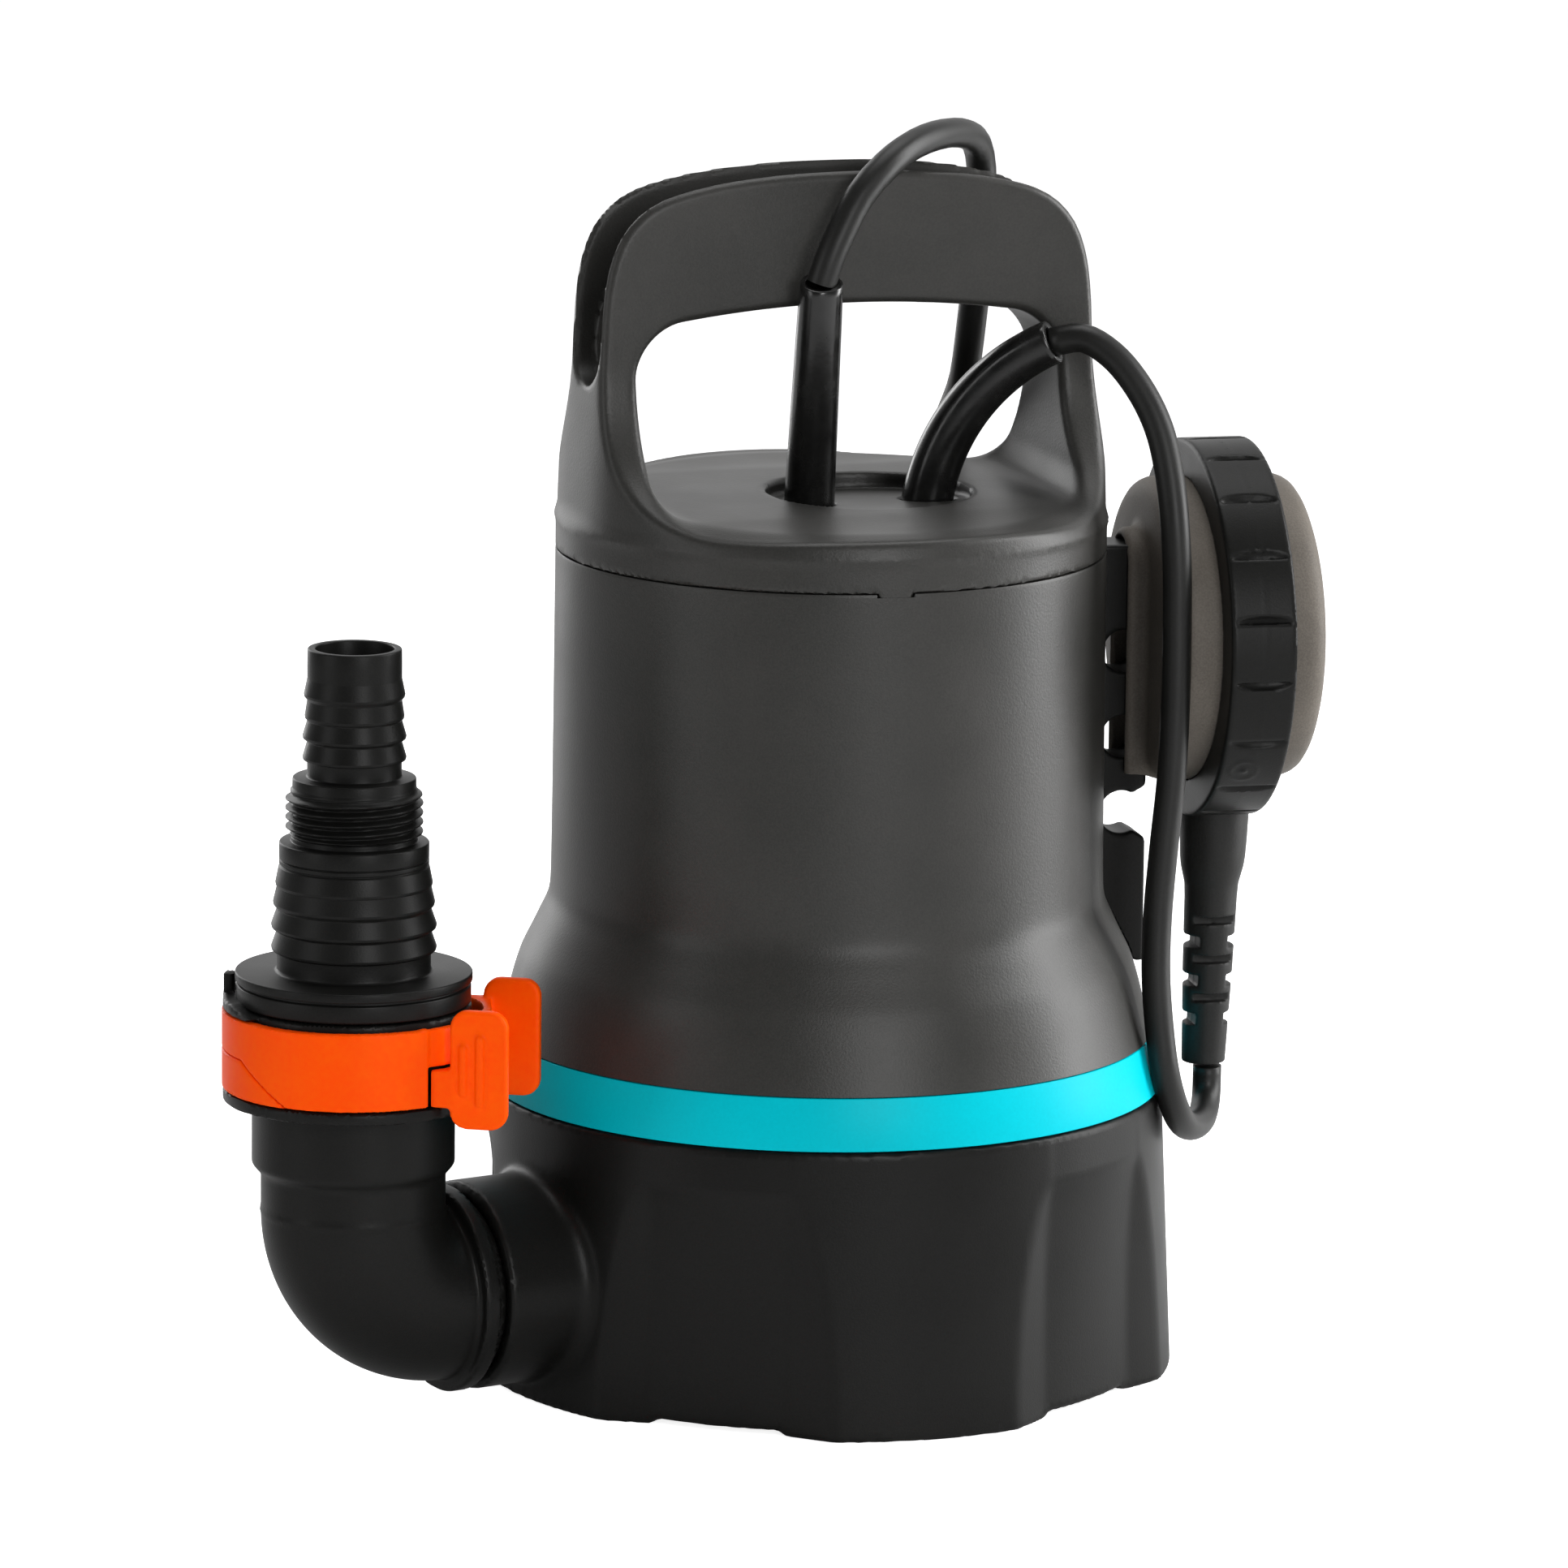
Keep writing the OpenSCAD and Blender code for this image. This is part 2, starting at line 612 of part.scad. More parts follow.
hole_mid_x = (mains_hole_x + float_hole_x) / 2;
block_h = 12;
clamp_head_r = 3.2;
clamp_screw_x = [mains_hole_x - sleeve_r - clamp_head_r - 0.5,
    float_hole_x + sleeve_r + clamp_head_r + 0.5];
sleeve_low_z = deck_z - 18;
module terminal_block() color("#e8e4d8") difference() {
    translate([hole_mid_x - 23, hole_y - 7, can_top_z + fit]) cube([46, 14, block_h]);
    for (i = [-1.5:1]) for (x = [mains_hole_x, float_hole_x])
        translate([x + i * 5, hole_y - 4.6, can_top_z + 5]) cylinder(r = 1.4, h = block_h);
}

module lead_wires() color("#7a4a2a") for (x = [mains_hole_x, float_hole_x]) for (i = [-1, 1])
    translate([x + 2.6 * i, hole_y, can_top_z + block_h + 0.2])
        cylinder(r = 1.3, h = sleeve_low_z - can_top_z - block_h - 0.3, $fn = 24);

// ---- housing, band and lid ------------------------------------------------------------

module base_seal() color(rubber) translate([0, 0, spigot_top - 1.7])
    rotate_extrude() translate([spigot_r - 0.8, 0]) circle(r = 0.9, $fn = 24);

module trim_band() color("#00c2cf") difference() {
    translate([0, 0, band_z]) cylinder(r1 = base_top_r, r2 = band_top_r + 0.05, h = band_h - seam_gap);
    translate([0, 0, band_z - 1]) cylinder(r = bore_r, h = band_h + 2);
}

module motor_housing() color(plastic_grey) difference() {
    rotate_extrude() polygon(concat(housing_outline,
        [[housing_bore, seam_z - seam_gap], [housing_r + 0.6 - housing_wall, bell_z],
         [housing_r + 1.2 - housing_wall, bell_z - 3.6], [housing_r + 3 - housing_wall, bell_z - 7],
         [shoulder_r - 2.4 - housing_wall, shoulder_z + 4.6], [shoulder_r - housing_wall, shoulder_z],
         [shoulder_r + 1.3 - housing_wall, shoulder_z - 5], [bore_r, spigot_top + 0.5], [bore_r, housing_z]]));
    // notch for the lid's locating tab
    toward(tab_turn, housing_bore - 3, seam_z - 2.9) translate([0, -tab_w / 2 - 0.3, 0])
        cube([12, tab_w + 0.6, 6]);
    for (z = rail_screw_z) toward(float_turn, 0, z) lying(2.1, 50, 90);
}

module tie_bolts() color(steel) for (a = bolt_angles) toward(a, bolt_away, plate_z)
    mirror([0, 0, 1]) screw(bolt_r, deck_z - deck_t - 4 - plate_z, 4.4, 4);

lid_spigot_r = housing_bore - 0.35;
lid_low_z = seam_z - 8.4;
module lid_seal() color(rubber) translate([0, 0, seam_z - 4.4])
    rotate_extrude() translate([lid_spigot_r - 0.9, 0]) circle(r = 1.15, $fn = 24);

handle_side_z = handle_top_z - 7;
corner_r = 20;
// Front view of the handle's outer outline, crowned on top.
handle_front = concat([[housing_r + 1, deck_z - 8], [housing_r + 1, channel_end_z]],
    arc(housing_r - 3.4 - corner_r, handle_side_z - corner_r, corner_r, 0, 82),
    arc(0, handle_top_z - 300, 300, 81, 99, 12),
    arc(-housing_r + 3.4 + corner_r, handle_side_z - corner_r, corner_r, 98, 180),
    [[-housing_r - 1, channel_end_z], [-housing_r - 1, deck_z - 8]]);
window_low_r = 14;
window_top_r = 12;
window_low_z = deck_z;
window_front = concat(
    arc(window_half_w - window_low_r, window_low_z + window_low_r, window_low_r, -90, 0),
    arc(window_half_w - window_top_r, window_top_z - 3.6 - window_top_r, window_top_r, 0, 84),
    arc(0, window_top_z - 260, 260, 81, 99, 10),
    arc(-window_half_w + window_top_r, window_top_z - 3.6 - window_top_r, window_top_r, 96, 180),
    arc(-window_half_w + window_low_r, window_low_z + window_low_r, window_low_r, 180, 270));
channel_front = concat([[window_half_w + 3.4, channel_end_z - 20]],
    arc(window_half_w + 3.4 - corner_r + 2, handle_top_z - channel_depth - corner_r, corner_r - 2, 0, 84),
    arc(-window_half_w - 3.4 + corner_r - 2, handle_top_z - channel_depth - corner_r, corner_r - 2, 96, 180),
    [[-window_half_w - 3.4, channel_end_z - 20]]);
// Side view of the handle: upright faces that sweep out to the deck.
sweep = [[0, 44], [1.7, 34], [5.7, 23], [10.2, 12], [16.7, 3.5], [24.7, -1], [28, -6]];

module side_view() polygon(concat([[handle_half_t, handle_top_z + 5]],
    [for (p = sweep) [handle_half_t + p[0], deck_z + p[1]]],
    [for (i = [len(sweep) - 1:-1:0]) [-handle_half_t - sweep[i][0], deck_z + sweep[i][1]]],
    [[-handle_half_t, handle_top_z + 5]]));

module upright(points, half) translate([0, half, 0]) rotate([90, 0, 0])
    linear_extrude(2 * half) polygon(points);

module handle_lid() color(plastic_grey) difference() {
    union() {
        rotate_extrude() polygon([[lid_spigot_r - 2.5, lid_low_z], [lid_spigot_r, lid_low_z],
            [lid_spigot_r, seam_z], [housing_r, seam_z], [housing_r - 0.2, deck_z - deck_slope_h],
            [housing_r - deck_slope_w, deck_z], [0, deck_z], [0, deck_z - deck_t],
            [housing_r - deck_slope_w - 2.5, deck_z - deck_t], [lid_spigot_r - 2.5, deck_z - deck_t - 2.5]]);
        for (a = bolt_angles) toward(a, bolt_away, lid_low_z + 1)
            cylinder(r = lid_boss_r, h = deck_z - deck_t - lid_low_z);
        // handle: a slice of the round housing, shaped in front view and in side view
        intersection() {
            translate([0, 0, deck_z - deck_t + 1])
                cylinder(r1 = housing_r - 0.3, r2 = housing_r - 3.4, h = handle_top_z - deck_z + 8);
            upright(handle_front, 60);
            rotate([90, 0, 90]) translate([0, 0, -80]) linear_extrude(160) side_view();
        }
        // locating tab
        intersection() {
            toward(tab_turn, housing_bore + 0.4, seam_z - 2.6) translate([0, -tab_w / 2, 0])
                cube([8, tab_w, 3]);
            translate([0, 0, seam_z - 5]) cylinder(r = housing_r, h = 6);
        }
    }
    upright(window_front, 70);
    // channel in the handle's back
    difference() {
        union() {
            translate([-90, -channel_half_w, channel_end_z + channel_half_w])
                cube([180, 2 * channel_half_w, 80]);
            translate([0, 0, channel_end_z + channel_half_w]) lying(channel_half_w, -90, 90);
        }
        upright(channel_front, 40);
    }
    // shallow sloping seat around the sleeves
    translate([hole_mid_x, hole_y + 2, deck_z - 1.4]) rotate([3, 0, 0]) cylinder(r = 25, h = 8);
    for (x = [mains_hole_x, float_hole_x])
        translate([x, hole_y, 0]) cylinder(r = sleeve_r + sleeve_gap, h = deck_z + 10);
    for (x = clamp_screw_x) translate([x, hole_y, deck_z - deck_t - 1]) cylinder(r = 1.6, h = 3.5);
    for (a = bolt_angles) toward(a, bolt_away, lid_low_z - 1)
        cylinder(r = bolt_r + 0.05, h = deck_z - deck_t - 3 - lid_low_z);
    // groove of the lid seal
    translate([0, 0, seam_z - 5.7]) ring(lid_spigot_r + 2, lid_spigot_r - 2.1, 2.6);
}

clamp_h = 7.8;
clamp_end = 5;
clamp_half_w = sleeve_r + 3.6;
module cable_clamp() color(plastic_black) difference() {
    translate([clamp_screw_x[0] - clamp_end, hole_y - clamp_half_w, deck_z - deck_t - clamp_h])
        cube([clamp_screw_x[1] - clamp_screw_x[0] + 2 * clamp_end, 2 * clamp_half_w, clamp_h]);
    for (x = [mains_hole_x, float_hole_x])
        translate([x, hole_y, 0]) cylinder(r = sleeve_r + 0.1, h = deck_z);
    for (x = clamp_screw_x) translate([x, hole_y, 0]) cylinder(r = 1.8, h = deck_z);
}

module clamp_screws() color(steel) for (x = clamp_screw_x)
    translate([x, hole_y, deck_z - deck_t - clamp_h])
        mirror([0, 0, 1]) screw(1.5, clamp_h + 2.2, clamp_head_r, 2);

// ---- float rail -----------------------------------------------------------------------

rail_hole_z = [float_z - 3.8, float_z - 25.4];
rail_mouth_z = float_z - 44.6;
rail_screw_z = [rail_top_z - 10, bell_z + 6];
function wall_inner(z) = housing_bore + 0.6 * (seam_z - z) / (seam_z - bell_z);
rail_mid_r = rail_r - rail_hole_r - 0.7;

module float_rail() color(plastic_black) difference() {
    toward(float_turn) translate([housing_r - 6, -rail_t / 2, rail_low_z])
        cube([rail_r - housing_r + 6, rail_t, rail_top_z - rail_low_z]);
    // follows the housing
    rotate_extrude() polygon(concat([[0, housing_z - 5], [band_top_r + 0.2, housing_z - 5]],
        [for (p = housing_outline) [p[0] + 0.12, p[1]]], [[housing_r + 0.12, deck_z], [0, deck_z]]));
    toward(float_turn) {
        for (z = rail_hole_z) translate([rail_mid_r, 20, z]) rotate([90, 0, 0]) cylinder(r = rail_hole_r, h = 40);
        for (z = rail_hole_z) translate([rail_mid_r, -20, z - 1]) cube([20, 40, 2]);
        translate([rail_mid_r, 20, rail_mouth_z]) rotate([90, 0, 0]) cylinder(r = rail_hole_r + 0.3, h = 40);
        translate([rail_mid_r, -20, rail_mouth_z - rail_hole_r - 0.3]) cube([20, 40, 2 * rail_hole_r + 0.6]);
        for (z = rail_screw_z) translate([0, 0, z]) lying(1.55, 50, rail_r - 2);
    }
}

module rail_screws() color(steel) for (z = rail_screw_z) toward(float_turn, wall_inner(z) - fit, z)
    rotate([0, -90, 0]) screw(1.5, rail_r - 3 - wall_inner(z), 3.4, 2);

// ---- cable sleeves --------------------------------------------------------------------

sleeve_root_z = deck_z - 1;
mains_lean = 18.8;
mains_lean_turn = 257;
mains_sleeve_l = 60.4;
float_lean = 10;
float_sleeve_turn = -34.4;
float_sleeve_sweep = 55;

module mains_sleeve() color(rubber) {
    translate([mains_hole_x, hole_y, sleeve_low_z])
        cylinder(r = sleeve_r, h = sleeve_root_z + 2.3 - sleeve_low_z);
    translate([mains_hole_x, hole_y, sleeve_root_z]) rotate([0, mains_lean, mains_lean_turn])
        cylinder(r1 = sleeve_r - 0.1, r2 = sleeve_tip_r, h = mains_sleeve_l);
}

module float_sleeve() color(rubber) {
    translate([float_hole_x, hole_y, sleeve_low_z])
        cylinder(r = sleeve_r, h = sleeve_root_z + 1.2 - sleeve_low_z);
    translate([float_hole_x, hole_y, sleeve_root_z]) rotate([0, 0, float_sleeve_turn])
        translate([float_sleeve_bend * cos(float_lean), 0, -float_sleeve_bend * sin(float_lean)])
            rotate([90, 0, 0]) rotate([0, 0, 180 - float_lean - float_sleeve_sweep])
                rotate_extrude(angle = float_sleeve_sweep)
                    translate([float_sleeve_bend, 0]) circle(r = (sleeve_r + sleeve_tip_r) / 2, $fn = 32);
}

// Where the cut ends of the sleeves are, and where they point.
mains_tip = [mains_hole_x, hole_y, sleeve_root_z] + mains_sleeve_l
    * [sin(mains_lean) * cos(mains_lean_turn), sin(mains_lean) * sin(mains_lean_turn), cos(mains_lean)];
function float_arc(a) = float_sleeve_bend * [cos(float_lean) - cos(a), 0, sin(a) - sin(float_lean)];
float_tip_flat = float_arc(float_lean + float_sleeve_sweep);
float_tip = [float_hole_x + float_tip_flat[0] * cos(float_sleeve_turn),
    hole_y + float_tip_flat[0] * sin(float_sleeve_turn), sleeve_root_z + float_tip_flat[2]];

// ---- cords ----------------------------------------------------------------------------

// Where the pump is seen from: the stored cord lies on the far side.
far_turn = 70;
layers = 4;
coil_steps = 24;
coil_low_z = mains_d / 2 + tie_t + 0.2;
coil_reach = 3 * coil_pitch;
coil_in_turn = 240;
coil_centre = coil_away * [cos(far_turn), sin(far_turn), 0];

// Radius and height after t turns: the spiral runs in and out at a steady rate,
// and climbs one layer in the half turn around each reversal.
loops_per_layer = 6;
function saw(t) = abs((t / loops_per_layer) % 2 - 1) * 2 - 1;
function climb(t) = min(1, max(0, (t + 0.25) / 0.5));
function coil_r(t) = coil_mid_r + coil_reach * saw(t);
function coil_z(t) = coil_low_z + coil_pitch * (layers - 1
    - climb(t - loops_per_layer) - climb(t - 2 * loops_per_layer) - climb(t - 3 * loops_per_layer));
function coil_point(t) = let (a = coil_in_turn - 360 * t)
    coil_centre + [coil_r(t) * cos(a), coil_r(t) * sin(a), coil_z(t)];
coil_start = coil_point(0) - mains_d * [sin(coil_in_turn), -cos(coil_in_turn), 0];
// The coil's free end runs out over the floor, round to the plug.
coil_tail = [[-3.9, 106.2], [-30.3, 121.5], [-55.1, 135.8], [-63, 142.6], [-68.3, 151.6],
    [-70.1, 161.8], [-68.3, 172]];
coil_last = [coil_tail[6].x, coil_tail[6].y, coil_low_z];
coil_path = concat([coil_start], [for (i = [0:coil_steps * coil_turns]) coil_point(i / coil_steps)],
    [for (p = coil_tail) [p.x, p.y, coil_low_z]]);

// The mains cord, from its sleeve over the handle and down behind the pump.
mains_route = [mains_tip, [-9, -22, 281], [-6, -21.5, 287], [-1, -20, 295], [7, -17, 302],
    [17, -10, 306], [28, -1, 307], [37, 7.6, 305.4], [42.3, 14.3, 302], [45, 18, 295.4],
    [45, 18, 282], [44.5, 18.5, 270], [44.5, 22, 256], [45.5, 29, 242], [47, 38, 234.5],
    [48.5, 48, 227], [49, 55, 217], [48.5, 60, 203], [47.5, 64, 182], [46, 69.5, 158],
    [45, 75, 132], [44, 79, 110], [43.5, 81.5, 90], [43.5, 83.5, 72], [42.5, 85.5, 56],
    [39.5, 86, 43], [33.2, 87.2, 33.8], coil_start];
// The float cord, from its sleeve out, down and up again into the float's gland.
float_axis = [cos(float_turn), sin(float_turn), 0];
gland_tip = float_away * float_axis + [0, 0, gland_end_z];
float_route = [float_tip, [56, -24.8, 258.6], [61.8, -29.2, 255], [67, -34.6, 247.5],
    [70.6, -39.4, 238], [72.4, -43, 226], [73.4, -45.8, 208], [73.7, -46.4, 190],
    [73.7, -46.4, 172], [73.2, -46, 153], [71.7, -45.4, 134], [70.6, -45, 117], [70.3, -45.4, 102],
    [71.2, -46.2, 88.5], [72.6, -46.8, 78], [76.4, -43.4, 68.6], [82.3, -35.8, 61.6],
    [89.4, -26, 58.4], [94.8, -17.8, 58.6], [97.6, -13, 61.8], gland_tip - [0, 0, 4.5],
    gland_tip - [0, 0, 0.1]];

mains_side = sideways(mains_route, len(mains_route) - 1, [1, 0, 0]);
float_side = sideways(float_route, len(float_route) - 1, [0, 1, 0]);
coil_side = [for (i = [0:len(coil_path) - 1]) carried([0, 0, 1], heading(coil_path, i))];

module mains_cord() color(rubber) tube(mains_route, mains_d / 2, 8, mains_side);

module float_cord() color(rubber) tube(float_route, float_d / 2, 8, float_side);

module mains_coil() color(rubber) tube(coil_path, mains_d / 2, 6, coil_side);

// Least gap between two turns of the coil, measured on its own points.
function least_gap(list) = min(list) - mains_d;
coil_gap = least_gap([for (i = [0:3:len(coil_path) - 40]) let (a = coil_path[i])
    for (j = [i + 18:1:len(coil_path) - 1]) norm(coil_path[j] - a)]);
echo(least_gap_of_the_coil = coil_gap);

tie_turn = 160;
module coil_tie() color("#2f2f2f") translate(coil_centre) toward(tie_turn) {
    low = coil_mid_r - coil_reach - mains_d / 2 - 0.6;
    high = coil_mid_r + coil_reach + mains_d / 2 + 0.6;
    top = coil_low_z + (layers - 1) * coil_pitch + mains_d / 2 + 0.4;
    difference() {
        translate([low - tie_t, -tie_w / 2, 0.05]) cube([high - low + 2 * tie_t, tie_w, top + tie_t]);
        translate([low, -tie_w, tie_t + 0.05]) cube([high - low, 2 * tie_w, top - tie_t]);
    }
}

plug_r = 18.5;
plug_body_l = 36;
plug_relief_l = 28;
plug_tilt = 12.5;
pin_r = 2.4;
pin_l = 19;
pin_half_gap = 9.5;
module mains_plug() color(rubber) translate(coil_last) rotate([0, 90 - plug_tilt, far_turn]) {
    rotate_extrude() polygon([[0, 0.3], [4.4, 0.3], [6.4, plug_relief_l], [12, plug_relief_l + 5],
        [15, plug_relief_l + 14], [16, plug_relief_l + plug_body_l - 8],
        [plug_r, plug_relief_l + plug_body_l - 6], [plug_r, plug_relief_l + plug_body_l],
        [0, plug_relief_l + plug_body_l]]);
    for (y = [-pin_half_gap, pin_half_gap]) translate([0, y, plug_relief_l + plug_body_l - 1])
        cylinder(r = pin_r, h = pin_l + 1);
}

// ---- float switch ---------------------------------------------------------------------

flange_half = 3;
flange_out = cap_r + 5.2;
gasket_t = 1;
// Places a shape that is turned about the float's own axis.
module on_float() toward(float_turn, float_away, float_z) rotate([0, 90, 0]) children();

module cap(side) on_float() mirror([0, 0, side]) rotate_extrude() polygon([
    [0, cap_depth], [cap_r - 14, cap_depth], [cap_r - 8, cap_depth - 1.7],
    [cap_r - 4, cap_depth - 4.6], [cap_r - 1.4, cap_depth - 9.6], [cap_r, flange_half + 2], [cap_r, flange_half],
    [flange_out, flange_half], [flange_out, gasket_t / 2 + 0.05], [cap_r - cap_wall, gasket_t / 2 + 0.05],
    [cap_r - cap_wall, flange_half + 2], [cap_r - cap_wall - 1.5, cap_depth - 10.4],
    [cap_r - cap_wall - 3.6, cap_depth - 6.4], [cap_r - cap_wall - 7, cap_depth - cap_wall - 1.9],
    [cap_r - cap_wall - 12.2, cap_depth - cap_wall], [0, cap_depth - cap_wall]]);

hook_gap = 0.3;
hook_wall = 2.2;
hook_low_z = float_z - 35;
hook_reach = 6.4;
hook_back = float_away - float_half_t;
module float_inner_cap() color("#3c3a38") difference() {
    union() {
        cap(1);
        toward(float_turn) translate([hook_back - hook_reach, -rail_t / 2 - hook_gap - hook_wall, hook_low_z])
            cube([hook_reach + cap_wall, rail_t + 2 * (hook_gap + hook_wall), rail_top_z + 5 - hook_low_z]);
    }
    // channel that hooks over the rail
    toward(float_turn) translate([0, -rail_t / 2 - hook_gap, hook_low_z - 1])
        cube([hook_back, rail_t + 2 * hook_gap, rail_top_z + hook_gap - hook_low_z + 1]);
}

module float_outer_cap() color("#6e6762") cap(0);

module float_ring() color(plastic_black) difference() {
    on_float() translate([0, 0, -ring_w / 2]) difference() {
        union() {
            cylinder(r1 = ring_r - 1.2, r2 = ring_r, h = 2);
            translate([0, 0, 2]) cylinder(r = ring_r, h = ring_w - 4);
            translate([0, 0, ring_w - 2]) cylinder(r1 = ring_r, r2 = ring_r - 1.2, h = 2);
        }
        translate([0, 0, -1]) cylinder(r = cap_r + 0.2, h = ring_w + 2);
        translate([0, 0, ring_w / 2 - flange_half - 0.1]) cylinder(r = flange_out + 0.1, h = 2 * flange_half + 0.2);
        for (i = [0:notch_count - 1]) rotate([0, 0, (i + 0.5) * 360 / notch_count])
            translate([ring_r - 1.4, -1.4, ring_w / 2 - 4.4]) cube([8, 2.8, 8.8]);
    }
    translate(float_away * float_axis + [0, 0, float_z - ring_r - 2]) cylinder(r = gland_neck_r + fit, h = 6);
}

module float_gasket() color(rubber) on_float() translate([0, 0, -gasket_t / 2])
    ring(flange_out - 0.4, cap_r - cap_wall + 0.6, gasket_t);

gland_r = 8.7;
gland_neck_r = 6.6;
gland_low_r = 5.8;
gland_body_l = 11.5;
gland_taper_l = 6;
gland_top_z = float_z - ring_r - 0.1;
module float_gland() color(rubber) translate(float_away * float_axis) difference() {
    union() {
        translate([0, 0, gland_top_z - 0.5]) cylinder(r = gland_neck_r, h = 3);
        translate([0, 0, gland_top_z - gland_body_l]) cylinder(r = gland_r, h = gland_body_l);
        translate([0, 0, gland_top_z - gland_body_l - gland_taper_l])
            cylinder(r1 = gland_neck_r, r2 = gland_r, h = gland_taper_l);
        translate([0, 0, gland_end_z])
            cylinder(r1 = gland_low_r, r2 = gland_neck_r, h = gland_top_z - gland_body_l - gland_taper_l - gland_end_z);
    }
    // notches that let the gland flex
    for (i = [0:2]) {
        for (side = [-1, 1]) rotate([0, 0, float_turn]) translate([side * 6.4 - 2.6, -10, gland_end_z + 10.5 + 10 * i])
            cube([5.2, 20, 2.8]);
        rotate([0, 0, float_turn]) translate([-10, -gland_r - 3.6, gland_end_z + 15.5 + 10 * i]) cube([20, 5.6, 2.4]);
    }
}

cage_wall = 1.4;
cage_low_z = float_z - 33;
module ball_cage() color("#d9d6cc") translate(float_away * float_axis) {
    translate([0, 0, cage_low_z]) difference() {
        cylinder(r = ball_r + 0.4 + cage_wall, h = cage_wall + 2 * ball_r + ball_travel + 1);
        translate([0, 0, cage_wall]) cylinder(r = ball_r + 0.4, h = 80);
    }
    // arms that hold the cage between the outer cap and the hook's channel
    for (arm = [[0, cap_depth], [180, float_half_t]]) rotate([0, 0, float_turn + arm[0]])
        translate([ball_r + 1, -2, cage_low_z + 14]) cube([arm[1] - cap_wall - 0.1 - ball_r - 1, 4, 14]);
}

module switch_ball() color(steel) translate(float_away * float_axis + [0, 0, cage_low_z + cage_wall + ball_r + 0.1])
    sphere(r = ball_r);

switch_h = 12;
module microswitch() color("#20242c") translate(float_away * float_axis
    + [0, 0, cage_low_z + cage_wall + 2 * ball_r + ball_travel + 1 + fit]) rotate([0, 0, float_turn])
        translate([-ball_r, -10, 0]) cube([2 * ball_r, 20, switch_h]);

// ---- outlet elbow, clip and nozzle ----------------------------------------------------

elbow_spigot_r = 22;
elbow_spigot_l = 9;
bend_start = collar_end + elbow_gap + flange_t + elbow_lead;
riser_away = bend_start + elbow_bend;
bend_top_z = outlet_z + elbow_bend;
neck_r = 24.6;
neck_z = 66;
clip_z = ledge_z + 0.3;
socket_top = ledge_z + 20.8;
cam_top = socket_top + 1.4;
socket_bore = 26;
tooth_z = clip_z + 11.6;
tooth_h = 3.4;
window_z = tooth_z - 0.4;

module on_riser() toward(outlet_turn, riser_away) children();

// The pipe bend, solid, for a given radius.
module bend(r) toward(outlet_turn, bend_start, bend_top_z) rotate([90, 0, 0]) rotate([0, 0, -90])
    rotate_extrude(angle = 90) translate([elbow_bend, 0]) circle(r = r);

// A strip of an outline around the riser, between two angles.
module strip(from, to, outline) rotate([0, 0, clip_turn - outlet_turn + from])
    rotate_extrude(angle = to - from) polygon(outline);

module outlet_elbow() color(plastic_black) difference() {
    union() {
        toward(outlet_turn, 0, outlet_z) {
            lying(elbow_spigot_r, collar_end - elbow_spigot_l, collar_end + 1);
            lying(collar_r - 2.6, collar_end + 0.2, collar_end + elbow_gap + 1);
            lying(collar_r - 0.1, collar_end + elbow_gap, collar_end + elbow_gap + flange_t);
            lying(pipe_r, collar_end + elbow_gap, bend_start);
        }
        bend(pipe_r);
        on_riser() {
            translate([0, 0, bend_top_z]) cylinder(r = pipe_r, h = ledge_z - bend_top_z);
            translate([0, 0, neck_z - 3.4]) cylinder(r1 = pipe_r - 0.4, r2 = neck_r, h = 3.4);
            translate([0, 0, neck_z]) cylinder(r = neck_r, h = ledge_z - neck_z);
            translate([0, 0, ledge_z - ledge_t - 1.2]) cylinder(r1 = neck_r - 0.2, r2 = neck_r + 1.2, h = 1.3);
            translate([0, 0, ledge_z - ledge_t]) cylinder(r = ledge_r, h = ledge_t);
            translate([0, 0, ledge_z - 1]) cylinder(r = socket_r, h = socket_top - ledge_z + 1);
        }
        // stop cam above the clip, high on the far side of the tabs
        on_riser() {
            strip(150, 235, [[socket_r - 0.6, clip_z + clip_h + 0.4],
                [ledge_r, clip_z + clip_h + 0.4], [ledge_r, cam_top], [socket_r + 0.1, cam_top],
                [socket_r + 0.1, socket_top - 0.4], [socket_r - 0.6, socket_top - 0.4]]);
            strip(176, 182, [[socket_r + 0.9, cam_top - 0.5], [ledge_r - 0.2, cam_top - 0.5],
                [ledge_r - 0.2, cam_top + 5], [socket_r + 0.9, cam_top + 5]]);
        }
    }
    // water way
    toward(outlet_turn, 0, outlet_z) lying(way_r, collar_end - elbow_spigot_l - 1, bend_start);
    bend(way_r);
    on_riser() {
        translate([0, 0, bend_top_z]) cylinder(r = way_r, h = 60);
        translate([0, 0, ledge_z - 0.4]) cylinder(r = socket_bore, h = 60);
        // windows for the clip's teeth
        for (side = [90, 270]) rotate([0, 0, clip_turn - outlet_turn + side])
            translate([0, 0, window_z]) intersection() {
                cylinder(r = 40, h = tooth_h + 0.8);
                translate([18, -9, -1]) cube([20, 18, 10]);
            }
    }
    // groove of the elbow seal
    toward(outlet_turn, 0, outlet_z) difference() {
        lying(elbow_spigot_r + 1, collar_end - 6.4, collar_end - 3.8);
        lying(elbow_spigot_r - 1.9, collar_end - 8, collar_end - 2);
    }
}

module elbow_seal() color(rubber) toward(outlet_turn, collar_end - 5.1, outlet_z) rotate([0, 90, 0])
    rotate_extrude() translate([elbow_spigot_r - 0.85, 0]) circle(r = 0.9, $fn = 24);

half_h = clip_h / 2 - 0.2;
lap_r = socket_r + 1.6;
